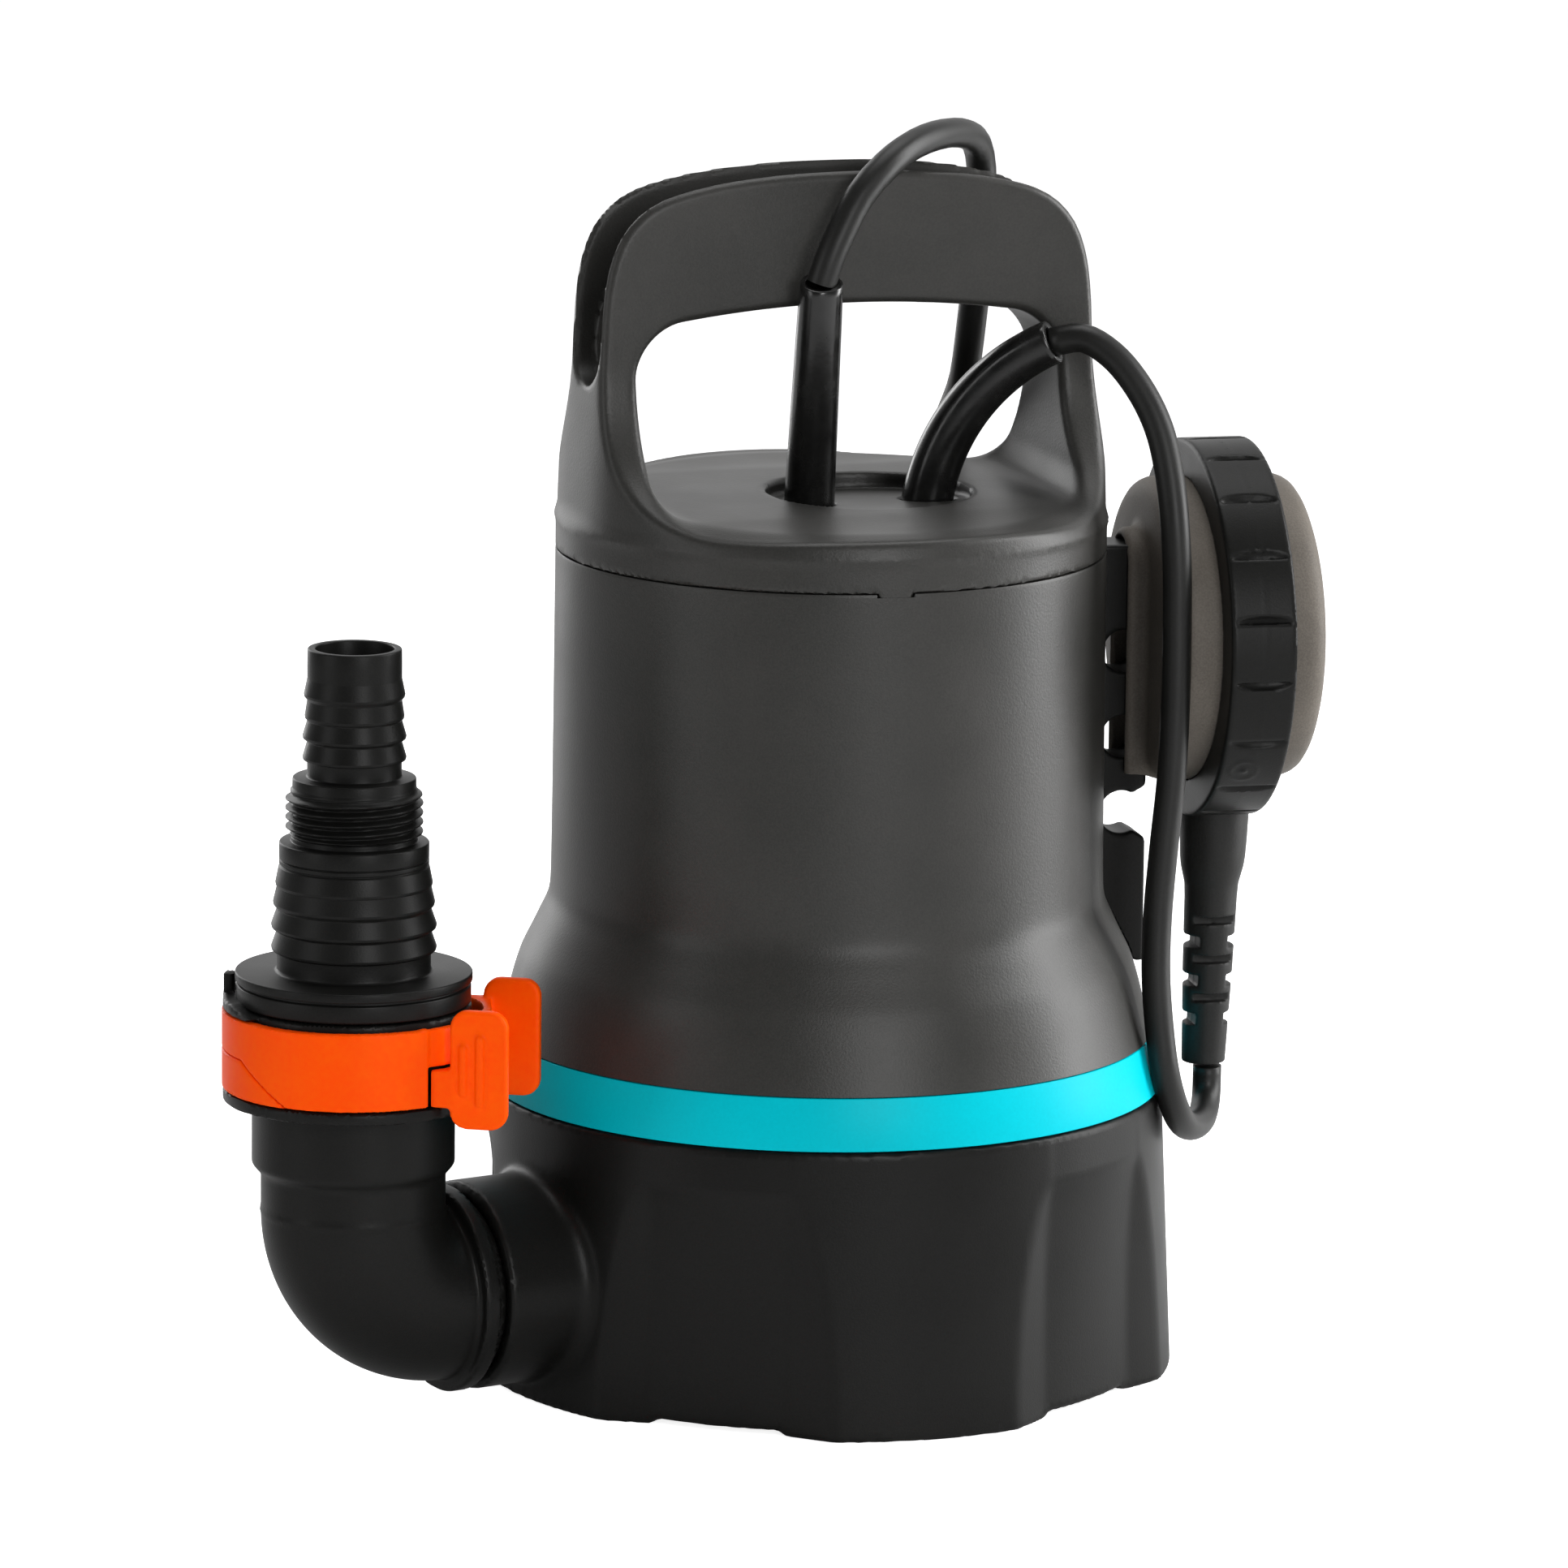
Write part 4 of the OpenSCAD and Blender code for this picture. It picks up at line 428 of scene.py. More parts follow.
base_black = moulded("fine_grained_black", "#0f0f0e", "#151514", 0.4, 0.45, 0.03, 30.0, 0.04, 1.25)
base_points, base_quads = skin(base_distance, (-110, -91, -1.5), (91, 91, 90), coarse * 1.25)
base = mesh_object("base_shell", base_points, base_quads, base_black, 60)
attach(base, "pump")
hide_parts("pump_base")

# ---- motor housing --------------------------------------------------------------------------
# The grey shell round the motor, moulded in one piece of filled polypropylene. It tapers by
# half a degree, belts out into a bell over the pump, and is notched once at its rim for the
# lid's locating tab.


def fillet(points, radius, steps=4):
    """A closed outline whose corners are rounded. radius is one number or one for each
    corner, and is held to 45% of the shorter side beside it."""
    p = np.asarray(points, float)
    radii = np.broadcast_to(radius, (len(p),))
    out = []
    for before, here, after, r in zip(np.roll(p, 1, 0), p, np.roll(p, -1, 0), radii):
        a, b = before - here, after - here
        la, lb = np.linalg.norm(a), np.linalg.norm(b)
        a, b = a / la, b / lb
        half = math.acos(np.clip(a @ b, -1, 1)) / 2
        if r <= 0 or half > math.radians(89) or half < math.radians(2):
            out.append(here[None])
            continue
        back = min(r / math.tan(half), 0.45 * la, 0.45 * lb)
        r = back * math.tan(half)
        middle = (a + b) / np.linalg.norm(a + b) * math.hypot(r, back)
        start, end = a * back - middle, b * back - middle
        turn = math.atan2(start[0] * end[1] - start[1] * end[0], start @ end)
        angles = turn * np.linspace(0, 1, steps + 1)[:, None]
        spun = np.cos(angles) * start + np.sin(angles) * np.array([-start[1], start[0]])
        out.append(here + middle + spun)
    return np.vstack(out)


def turned(outline, sides, start=0.0):
    """Surface of revolution about z: the closed outline of (radius, height) runs
    counter-clockwise, and each of its points goes round a full circle."""
    a = start + 2 * math.pi * np.arange(sides) / sides
    r, z = outline[:, :1], outline[:, 1:]
    grid = np.stack([r * np.cos(a), r * np.sin(a), z + 0 * a], -1)
    return grid, grid_quads(len(outline), sides, wrap_rows=True)


seam_z, seam_gap, housing_r = 205.4, 0.25, 68.0
bell = [
    [81.1, 84.5], [79.6, 90.4], [78.05, 96.6], [77.2, 99.6], [76.55, 101.6], [75.7, 103.9],
    [74.5, 106.4], [72.9, 109.6], [71.35, 112.9], [70.0, 115.7], [69.2, 117.8], [68.8, 119.9],
    [68.62, 123], [68.4, 140], [68.2, 170], [68.02, 204.4],
]
bell = smoothed(np.column_stack([bell, np.zeros(len(bell))]), 2.0)[:, :2]
outer = np.vstack([bell, [[68.0, 204.75], [67.85, seam_z - seam_gap]]])
inner = np.array([
    [65.3, seam_z - seam_gap], [65.2, 204.6], [65.8, 120], [66.6, 116], [73.2, 103], [76.2, 95],
    [78.2, 87], [78.2, 84.5],
])
tab_turn, notch_half, notch_depth = math.radians(263.5), 4.6, 2.9
shell, shell_quads = turned(np.vstack([outer, inner]), 360, tab_turn)
a = np.arctan2(shell[..., 1], shell[..., 0]) - tab_turn
near = np.abs(np.arctan2(np.sin(a), np.cos(a))) * housing_r < notch_half
rim = shell[..., 2] > seam_z - 1
shell[..., 2] -= np.where(near & rim, notch_depth, 0)
# Filled polypropylene from a spark-eroded tool: matt, dark warm grey, finely speckled.
housing_grey = moulded("spark_eroded_grey", "#272725", "#31302e", 0.42, 0.55, 0.05, 25.0, 0.03, 1.4)
housing = mesh_object("housing_shell", shell.reshape(-1, 3), shell_quads, housing_grey, 30)
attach(housing, "pump")
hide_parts("motor_housing")

# ---- trim band ------------------------------------------------------------------------------
# The cyan ring that covers the joint between base and housing, held by the spigot behind it.
band_outline = fillet(
    [[78.4, 71.6], [83.95, 71.6], [81.2, 84.2], [78.4, 84.2]], [0.2, 0.35, 0.35, 0.2], 3
)
ring_points, ring_quads = turned(band_outline, 300)
# Glossy ABS in the maker's accent colour: even, with a soft polished skin.
band_cyan = moulded("gloss_cyan_abs", "#00b6c5", "#00bdcc", 0.4, 0.8, 0.01, 40.0, 0.04, 1.13)
band = mesh_object("accent_band", ring_points.reshape(-1, 3), ring_quads, band_cyan, 30)
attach(band, "pump")
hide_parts("trim_band")

# ---- mains plug and tie ---------------------------------------------------------------------
# The moulded plug at the coil's end, with a ribbed strain relief and two round pins, and the
# nylon strap that holds the coil together.
plug_tilt, plug_turn = math.radians(12.5), math.radians(70)
plug_level = np.array([math.cos(plug_turn), math.sin(plug_turn), 0])
plug_axis = math.cos(plug_tilt) * plug_level + [0, 0, math.sin(plug_tilt)]
plug_across = np.array([-math.sin(plug_turn), math.cos(plug_turn), 0])
plug_frame = np.array([np.cross(plug_across, plug_axis), plug_across, plug_axis])
plug_side = [[0.01, 0.3], [4.4, 0.3]]
for k in range(5):
    rib_h = 3 + 5.0 * k
    rib_r = 4.4 + 0.07 * rib_h
    plug_side += [[rib_r, rib_h], [rib_r - 0.9, rib_h + 0.5]]
    plug_side += [[rib_r - 0.8, rib_h + 1.9], [rib_r + 0.2, rib_h + 2.4]]
plug_side += [[6.4, 28], [12, 33], [15, 42], [16, 56], [18.5, 58], [18.5, 64]]
plug_side += [[17.2, 64], [17, 62.8], [0.01, 62.8]]
plug_grid, plug_quads = turned(fillet(plug_side, 0.5, 2), 96)
plug_points = plug_grid.reshape(-1, 3) @ plug_frame + coil_last
plug = mesh_object("moulded_plug", plug_points, plug_quads, cord_rubber, 40)
pin_side = [[0.01, 62], [2.4, 62], [2.4, 81.5], [1.2, 83], [0.01, 83]]
pin_grid, pin_quads = turned(fillet(pin_side, [0, 0, 0.6, 0.6, 0], 3), 40)
pin_points, pin_away = pin_grid.reshape(-1, 3), 9.5
pin_points = np.vstack([pin_points + [0, pin_away * k, 0] for k in (-1, 1)])
pin_quads = np.vstack([pin_quads, pin_quads + len(pin_points) // 2])


def metal(name, colour, roughness, grain, stretch=(1, 1, 1)):
    """Bare metal whose gloss and height follow fine marks; grain is their size in mm, and
    stretch how much finer they are along each axis."""
    made, tree, shader = surface(name, colour, roughness, Metallic=1.0)
    where = add(tree, "Mapping", {"Vector": add(tree, "TexCoord").outputs["Object"]})
    where.inputs["Scale"].default_value = stretch
    marks = add(tree, "TexNoise", {"Vector": where.outputs[0]}, Scale=1 / (grain * MM), Detail=3.0)
    gloss = add(
        tree, "MapRange", {"Value": marks.outputs[0]},
        To_Min=roughness - 0.1, To_Max=roughness + 0.12,
    )
    tree.links.new(gloss.outputs["Result"], shader.inputs["Roughness"])
    bump = add(tree, "Bump", {"Height": marks.outputs[0]}, Distance=0.01 * MM)
    tree.links.new(bump.outputs["Normal"], shader.inputs["Normal"])
    return made


def stood(points, origin, turn):
    """Points in a piece's own axes, turned about z and moved to where the piece stands."""
    c, s = math.cos(turn), math.sin(turn)
    x, y, z = np.asarray(points).T
    return np.column_stack([origin[0] + x * c - y * s, origin[1] + x * s + y * c, z])


nickel = metal("nickel_plate", "#b9b7b0", 0.24, 0.8)
pins = mesh_object("plug_pins", pin_points @ plug_frame + coil_last, pin_quads, nickel, 40)
tie_turn, tie_t, tie_foot, tie_top, tie_corner = math.radians(160), 0.55, 0.1, 32.9, 3.4
tie_low, tie_high = coil_mid_r - coil_half_w - 4.9, coil_mid_r + coil_half_w + 4.9


def tie_loop(t):
    """The strap's outline round the coil's section, t further in than its outside."""
    low, high, foot, top = tie_low + t, tie_high - t, tie_foot + t, tie_top - t
    return fillet([[low, foot], [high, foot], [high, top], [low, top]], tie_corner - t, 6)


outer_loop, inner_loop = tie_loop(0), tie_loop(tie_t)
strap = np.array([
    np.column_stack([loop[:, 0], np.full(len(loop), y), loop[:, 1]])
    for loop, y in ((outer_loop, -5.7), (outer_loop, 5.7), (inner_loop, 6.0), (inner_loop, -6.0))
])
nylon = moulded("black_nylon_strap", "#242423", "#2e2e2d", 0.4, 0.7, 0.03, 12.0, 0.05)
tie_points = stood(strap.reshape(-1, 3), coil_centre[:2], tie_turn)
tie_quads = grid_quads(4, len(outer_loop), wrap_rows=True)
tie = mesh_object("coil_strap", tie_points, tie_quads, nylon, 30)
for made, node, finish in (
    (plug, "mains_plug", "cord_rubber"),
    (pins, "mains_plug", "steel"),
    (tie, "coil_tie", "tie_plastic"),
):
    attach(made, "pump")
    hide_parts(node)

# ---- lid with handle ------------------------------------------------------------------------
# The lid and its carrying handle are one grey moulding. The handle is a slice of the round
# housing that sweeps out to the deck, with a hand opening through it and a deep channel
# along its back that keeps its walls even.


def outline_distance(u, v, outline):
    """Signed distance to a closed outline: to its nearest side, negative inside."""
    outline = np.asarray(outline, float)
    best, inside = None, None
    for (ax, ay), (bx, by) in zip(outline, np.roll(outline, -1, 0)):
        ex, ey = bx - ax, by - ay
        wx, wy = u - ax, v - ay
        t = np.clip((wx * ex + wy * ey) / (ex * ex + ey * ey + 1e-12), 0, 1)
        d = (wx - ex * t) ** 2 + (wy - ey * t) ** 2
        crosses = ((ay > v) != (by > v)) & (u < ex * (v - ay) / (ey if ey else 1e-12) + ax)
        best = d if best is None else np.minimum(best, d)
        inside = crosses if inside is None else inside ^ crosses
    return np.where(inside, -1, 1) * np.sqrt(best)


def arch_of(half, spacing):
    """A smooth arch in x and z from the points of its right half, lowest first."""
    whole = [[x, 0, z] for x, z in half] + [[-x, 0, z] for x, z in half[::-1]]
    return smoothed(whole, spacing)[:, [0, 2]]


deck_z, deck_rise = 218.0, 0.011
handle_front = arch_of([
    [66.4, 216], [65.6, 235], [64.6, 250], [64.2, 260], [63.5, 270], [61.8, 278.6], [59.0, 285.4],
    [54.6, 290.6], [48.6, 294.2], [36.4, 297.4], [22, 299.2], [8, 299.9],
], 2.5)
handle_front = np.vstack([[[housing_r, 200]], handle_front, [[-housing_r, 200]]])
channel_floor = arch_of([
    [58.3, 236], [58.3, 252], [57.8, 261], [55.6, 269.0], [51.2, 275.0], [44, 278.4],
    [30, 280.6], [12, 281.6],
], 3.0)
channel_half, channel_low_z = 9.9, 258
sweep_r, sweep_y, sweep_z, handle_half_t = 38.0, 50.3, 255.0, 12.3
window_half_w, window_top, window_corner, window_foot = 54.9, 267.4, 12, 9
sleeve_holes_x, sleeve_hole_y, sleeve_hole_r = (-6.8, 24.3), -2.5, 7.0
seat_r, above_deck, lid_inner_r, lid_ceiling = 25.5, 230, 62, deck_z - 4
skirt_r, skirt_inner_r, skirt_low, skirt_high = 64.85, 62.3, 197, 214
tab_half, tab_r, tab_inner_r, tab_low, tab_high = 4, 67.95, 64, 202.8, 206


def lid_distance(x, y, z):
    """The lid: a flat-topped cap with a sloped rim, joined to the handle slice, less the
    hand opening, the back channel, the sleeve seat and holes, and the hollow below. Under
    the seam it has a skirt inside the housing and the tab for the housing's notch."""
    r = np.hypot(x, y)
    deck = deck_z + deck_rise * (y + 62)
    cap = soft_cut(r - housing_r, ((r - housing_r) * 4.4 + (z - 213.4) * 6) / 7.44, 1.6)
    cap = soft_cut(cap, z - deck, 2.2)
    swept_in = sweep_r - np.hypot(np.abs(y) - sweep_y, np.minimum(z, sweep_z) - sweep_z)
    sweep = np.where(z > sweep_z, np.abs(y) - handle_half_t, swept_in)
    front = outline_distance(x, z, handle_front)
    round_wall = (r - (housing_r - 0.035 * (np.maximum(z, deck_z) - 206))) * 0.999
    handle = soft_cut(soft_cut(round_wall, sweep, 2.4), front, 2.4)
    handle = np.maximum(handle, skirt_high - z)
    top = window_top - 0.0017 * x * x
    opening = round_corner(np.abs(x) - window_half_w, z - top, window_corner)
    opening = round_corner(opening, deck - z, window_foot)
    body = soft_union(soft_cut(handle, -opening, 2.6), cap, 3.0)
    channel = np.where(z < channel_low_z, np.hypot(y, z - channel_low_z), np.abs(y)) - channel_half
    channel = np.maximum(channel, -outline_distance(x, z, channel_floor))
    body = soft_cut(body, -channel, 0.9)
    seat_floor = deck_z - 0.2 - 0.05 * (y + 26)
    seat = np.hypot(x - sum(sleeve_holes_x) / 2, y - sleeve_hole_y) - seat_r
    seat = round_corner(seat, seat_floor - z, 0.8)
    body = soft_cut(body, -np.maximum(seat, z - above_deck), 0.8)
    for hole_x in sleeve_holes_x:
        hole = np.hypot(x - hole_x, y - sleeve_hole_y) - sleeve_hole_r
        body = soft_cut(body, -np.maximum(hole, z - above_deck), 0.7)
    body = np.maximum(body, -round_corner(r - lid_inner_r, z - lid_ceiling, 2))
    skirt = np.maximum(np.maximum(r - skirt_r, skirt_inner_r - r), z - skirt_high)
    body = np.minimum(np.maximum(body, seam_z - z), np.maximum(skirt, skirt_low - z))
    along = -x * math.sin(tab_turn) + y * math.cos(tab_turn)
    tab = np.maximum(np.abs(along) - tab_half, np.maximum(r - tab_r, tab_inner_r - r))
    tab = np.maximum(tab, np.maximum(y, tab_low - z))
    return np.minimum(body, np.maximum(tab, z - tab_high))


lid_step = 1.05
lid_points, lid_quads = skin(lid_distance, (-70, -70, 195.5), (70, 70, 302), lid_step)
lid = mesh_object("lid_and_handle", lid_points, lid_quads, housing_grey, 60)
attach(lid, "pump")
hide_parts("handle_lid")

# ---- cable sleeves --------------------------------------------------------------------------
# Two lengths of soft rubber hose, pushed over the cords and clamped under the lid. They
# shine, their skin is slightly fluted along its length, and their cut ends stand off the
# cords.


def hose(name, path, radii, bore, flutes, seed):
    """A fluted hose along a path: the outer skin goes up, turns over the cut end and comes
    back down the bore. The flutes are two low waves round the hose."""
    path = np.asarray(path, float)
    sides = 72
    along, u, w = tube_frames(path)
    a = 2 * math.pi * np.arange(sides) / sides
    spokes = np.cos(a)[:, None] * u[:, None] + np.sin(a)[:, None] * w[:, None]
    wave = flutes * (np.sin(3 * a + seed) * 0.6 + np.sin(5 * a + 2.1 * seed) * 0.4)
    share = np.linspace(0, 1, len(path))[:, None]
    outer = radii[0] + (radii[1] - radii[0]) * share + wave * (0.4 + 0.6 * share)
    rows = [path[:, None] + outer[..., None] * spokes]
    tip = rows[0][-1] - path[-1]
    size = np.linalg.norm(tip, axis=1)[:, None]
    lift = along[-1] * 0.25
    for reach, up in ((-0.25, 0.9), (-0.6, 1.0), (bore + 0.2 - size, 0.9), (bore - size, 0.0)):
        rows.append((path[-1] + tip * (1 + reach / size) + lift * up)[None])
    rows.append((path[:, None] + bore * spokes)[-2::-1])
    grid = np.vstack(rows)
    quads = grid_quads(len(grid), sides, wrap_rows=True)
    return mesh_object(name, grid.reshape(-1, 3), quads, sleeve_rubber, 50)


# Vulcanised rubber hose: deep black and shiny, with long drag marks.
sleeve_rubber = moulded("glossy_rubber_hose", "#0f0f0f", "#171716", 0.23, 1.2, 0.02, 8.0, 0.08)
lean, lean_turn = math.radians(18.8), math.radians(257)
mains_way = math.sin(lean) * np.array([math.cos(lean_turn), math.sin(lean_turn), 0])
mains_way += [0, 0, math.cos(lean)]
mains_hole, float_hole = (np.array([x, sleeve_hole_y, 217.0]) for x in sleeve_holes_x)
stem = [mains_hole - [0, 0, 16], mains_hole - [0, 0, 9], mains_hole - [0, 0, 3]]
stem += [mains_hole + mains_way * d for d in (4, 12, 24, 36, 48, 60.4)]
mains_sleeve = hose("mains_sleeve_hose", smoothed(stem, 2.0), (6.5, 5.3), 3.75, 0.16, 0.6)
bend_r, turn = 55.0, math.radians(-34.4)
swing = np.radians(np.linspace(10, 65, 28))
out, up = bend_r * (np.cos(swing[0]) - np.cos(swing)), bend_r * (np.sin(swing) - np.sin(swing[0]))
arch = float_hole + np.column_stack([out * math.cos(turn), out * math.sin(turn), up])
arch = np.vstack([[float_hole - [2.0, -1.4, 14], float_hole - [1.0, -0.7, 7]], arch])
float_sleeve = hose("float_sleeve_hose", smoothed(arch, 2.0), (6.5, 5.5), 3.65, 0.2, 2.2)
for sleeve, node in ((mains_sleeve, "mains_sleeve"), (float_sleeve, "float_sleeve")):
    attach(sleeve, "pump")
    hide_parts(node)

# ---- outlet elbow ---------------------------------------------------------------------------
# A black pipe bend that plugs into the base's collar and can swivel there. Its socket takes
# the hose nozzle; windows in the socket let the clip's teeth through, and a cam with a stop
# rib stands above the clip.
flange_from, flange_to, elbow_bend, pipe_r, way_r = 107.1, 111.1, 23.0, 22.4, 19.0
bend_start = 111.3
riser_away, bend_top_z = bend_start + elbow_bend, outlet_z + elbow_bend
riser = np.array([math.cos(outlet_turn), math.sin(outlet_turn)]) * riser_away
clip_turn, clip_low, clip_high = math.radians(330), 84.2, 103.2
ledge_z, ledge_t, ledge_r, socket_r, socket_bore_r, socket_top = 83.9, 3.0, 31.6, 28.5, 26.0, 104.7
tooth_z, lift_z, lift_h, lift_out, joint_lap = 97.5, 62.0, 3.6, 2.2, 0.3
cam_turn, cam_inner_r, cam_drop = math.radians(163), 27.6, 4.4
rib_turn, rib_low, rib_high, rib_mid_r = math.radians(153), 103.6, 110.9, 30.4


def turned_step(r, z, steps):
    """Distance to a stack of discs, each (radius, low z, high z, edge radius)."""
    best = None
    for radius, low, high, edge in steps:
        d = round_corner(r - radius, np.maximum(low - z, z - high), edge)
        best = d if best is None else np.minimum(best, d)
    return best


def elbow_distance(x, y, z):
    """The elbow in the outlet's own axes: x out from the shaft, y across, z up."""
    rho, r = np.hypot(y, z - outlet_z), np.hypot(x - riser_away, y)
    lying = turned_step(rho, x, [(22.0, 95.3, 106.0, 0.4), (23.0, 104.6, 108.0, 0.3)])
    lying = soft_union(lying, turned_step(rho, x, [(25.5, flange_from, flange_to, 0.6)]), 0.8)
    lying = soft_union(lying, turned_step(rho, x, [(pipe_r, 108.0, bend_start + 0.6, 0.1)]), 1.2)
    ring = np.hypot(x - bend_start, z - bend_top_z) - elbow_bend
    beside = np.maximum(bend_start - joint_lap - x, z - bend_top_z - joint_lap)
    knee = np.maximum(np.hypot(ring, y) - pipe_r, beside)
    lift = np.clip((z - lift_z) / lift_h, 0, 1)
    riser_r = pipe_r + lift_out * lift * lift * (3 - 2 * lift)
    pipe = np.maximum((r - riser_r) * 0.85, np.maximum(bend_top_z - joint_lap - z, z - 82))
    ledge = round_corner(r - ledge_r, np.maximum(z - ledge_z, ledge_z - ledge_t - z), 0.5)
    body = soft_union(np.minimum(lying, knee), pipe, 0.8)
    body = soft_union(body, ledge, 1.0)
    a = np.arctan2(y, x - riser_away) + outlet_turn
    side = np.abs(np.abs(np.angle(np.exp(1j * (a - clip_turn)))) - math.pi / 2)
    window = np.maximum(side - math.radians(16), np.abs(z - tooth_z) - 2.1)
    wall = round_corner(r - socket_r, z - socket_top, 0.5)
    wall = np.maximum(np.maximum(wall, ledge_z - 2 - z), -window * 20)
    body = soft_union(body, wall, 0.7)
    off = np.degrees(np.angle(np.exp(1j * (a - cam_turn))))
    cam_top = socket_top + 1.3 - np.clip((off - 18) / 42, 0, 1) * cam_drop
    cam = round_corner(r - ledge_r, z - cam_top, 0.6)
    cam = np.maximum(np.maximum(cam, clip_high + 0.35 - z), cam_inner_r - r)
    cam = np.maximum(cam, (np.abs(off - 8) - 52) * math.radians(1) * r)
    body = np.minimum(body, cam)
    rib = np.abs(np.angle(np.exp(1j * (a - rib_turn)))) * r - 1.7
    rib = np.maximum(rib, np.abs(r - rib_mid_r) - 1.3)
    rib = round_corner(rib, np.maximum(z - rib_high, rib_low - z), 0.3)
    body = soft_union(body, rib, 0.8)
    way = np.maximum(rho - way_r, x - bend_start - joint_lap)
    way = np.minimum(way, np.maximum(np.hypot(ring, y) - way_r, beside))
    way = np.minimum(way, np.maximum(r - way_r, bend_top_z - joint_lap - z))
    way = np.minimum(way, np.maximum(r - socket_bore_r, ledge_z - 0.4 - z))
    return np.maximum(body, -way)


elbow_points, elbow_quads = skin(elbow_distance, (94, -33, 4), (168, 33, 112.4), coarse * 0.8)
elbow_points = stood(elbow_points, (0, 0), outlet_turn)
elbow = mesh_object("elbow_pipe", elbow_points, elbow_quads, base_black, 50)
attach(elbow, "elbow")
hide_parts("outlet_elbow")

# ---- clip -----------------------------------------------------------------------------------
# Two orange jaws of one shape, the rear one turned upside down. Pressing the finger tabs
# together spreads the rings and draws their teeth out of the nozzle's groove.
clip_mid, band_mid_r, band_half_t = (clip_low + clip_high) / 2, 30.35, 1.48
tab_x, tab_y, tab_half_w, tab_half_t, tab_half_h, tab_corner = 35.2, 19.0, 7.0, 1.5, 14.5, 4.2
arm_outline = np.array([
    [21.6, -22.2], [26.4, -17.6], [29.4, -12.2], [31.8, -6.5], [33, 0], [32.8, 6.5], [31.2, 12.5],
    [30, 17.6], [30, 20.3], [23.8, 20.9], [23.6, 19.3], [25.9, 17.2], [28.9, 12.8], [30.6, 7],
    [30.7, 0.5], [29.9, -5.5], [27.8, -11], [24.6, -16], [21.2, -20.6],
])


def jaw_distance(x, y, z, tooth):
    """The front jaw about the clip's axis: a band that splits along a step, a curved arm to
    the far finger tab with two grip ribs, and the tooth at the given height."""
    r = np.hypot(x, y)
    a = np.degrees(np.arctan2(y, x)) % 360
    steps = [clip_high + 3, clip_high, clip_mid, clip_mid, clip_low, clip_low]
    split = np.interp(a, [104, 108, 136, 224, 252, 318], steps)
    slope = np.where((a > 108) & (a < 136) | (a > 224) & (a < 252), 0.85, 1.0)
    band = np.maximum((split + 0.15 - z) * slope, z - clip_high)
    band = round_corner(np.abs(r - band_mid_r) - band_half_t, band, 0.35)
    band = np.maximum(band, (np.abs(a - 210.7) - 106.5) * r * math.pi / 180)
    arm = np.maximum(clip_mid + 0.3 - z, z - clip_high)
    arm = round_corner(outline_distance(x, y, arm_outline), arm, 0.5)
    body = soft_union(band, arm, 1.2)
    flat, tall = np.abs(x - tab_x) - tab_half_w, np.abs(z - clip_mid) - tab_half_h
    tab = round_corner(round_corner(flat, tall, tab_corner), np.abs(y - tab_y) - tab_half_t, 0.7)
    body = soft_union(body, tab, 1.2)
    for rib_x, rib_half in ((31.5, 5.4), (35.6, 7.8)):
        ends = np.clip(z - clip_mid, -rib_half, rib_half)
        rib = (x - rib_x) ** 2 + (y - tab_y - tab_half_t) ** 2 + (z - clip_mid - ends) ** 2
        rib = np.sqrt(rib) - 1.1
        body = soft_union(body, rib, 0.4)
    wedge = np.maximum((np.abs(a - 270) - 13) * r * math.pi / 180, np.abs(z - tooth) - 1.6)
    return np.minimum(body, np.maximum(wedge, np.abs(r - 27.6) - 2.1))


# Acetal in signal orange: smooth, a little waxy, with soft highlights.
clip_orange = moulded("orange_acetal", "#ff4c00", "#ff5600", 0.4, 1.5, 0.01, 12.0, 0.05, 1.15)
for name, node, up in (
    ("clip_jaw_front", "clip_front_jaw", 1),
    ("clip_jaw_rear", "clip_rear_jaw", -1),
):

    def jaw(x, y, z, up=up):
        """The front jaw, or for the rear one its mirror image turned upside down."""
        tooth = tooth_z if up > 0 else 2 * clip_mid - tooth_z
        return jaw_distance(x, y * up, clip_mid + (z - clip_mid) * up, tooth)

    points, quads = skin(jaw, (-33.5, -33.5, 78), (44, 33.5, 109.5), coarse * 0.62)
    made = mesh_object(name, stood(points, riser, clip_turn), quads, clip_orange, 50)
    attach(made, node.replace("clip_", ""))
    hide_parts(node)

# ---- hose nozzle ----------------------------------------------------------------------------
# The stepped hose tail: a plug for the elbow's socket, barbs for a wide hose, a G1 pipe
# thread, and barbs for a narrow hose above it. A buyer cuts it off at the size that is used.
nozzle_sides = 240
nozzle_side = [
    [25.9, 85.9], [25.9, 87.5], [23.7, 87.5], [23.7, 90.1], [25.9, 90.1], [25.9, 95.2],
    [25.1, 95.2], [25.1, 99.8], [25.9, 99.8], [25.9, 105.1], [28.35, 105.1], [28.35, 109.4],
    [27.6, 109.6], [27.6, 110.2], [28.7, 110.3], [28.7, 112.5], [18.6, 112.5], [18.6, 117.4],
]
nozzle_edge = [0.3] * 10 + [0.5, 0.4, 0.2, 0.1, 0.35, 0.4, 0.9, 0.3]
for barb_r, barb_z in ((20.0, 118.4), (20.0, 123.85), (19.55, 129.4), (19.0, 134.15)):
    nozzle_side += [[barb_r - 0.15, barb_z - 0.55], [barb_r, barb_z + 0.1]]
    nozzle_side += [[min(18.6, barb_r - 0.8), barb_z + 4.1]]
    nozzle_edge += [0.12, 0.18, 0.3]
nozzle_side += [
    [17.7, 138.7], [18.1, 139.0], [18.1, 139.9], [17.7, 140.1], [18.1, 140.4], [18.1, 144.3],
    [15.26, 144.5], [15.26, 145.4],
]
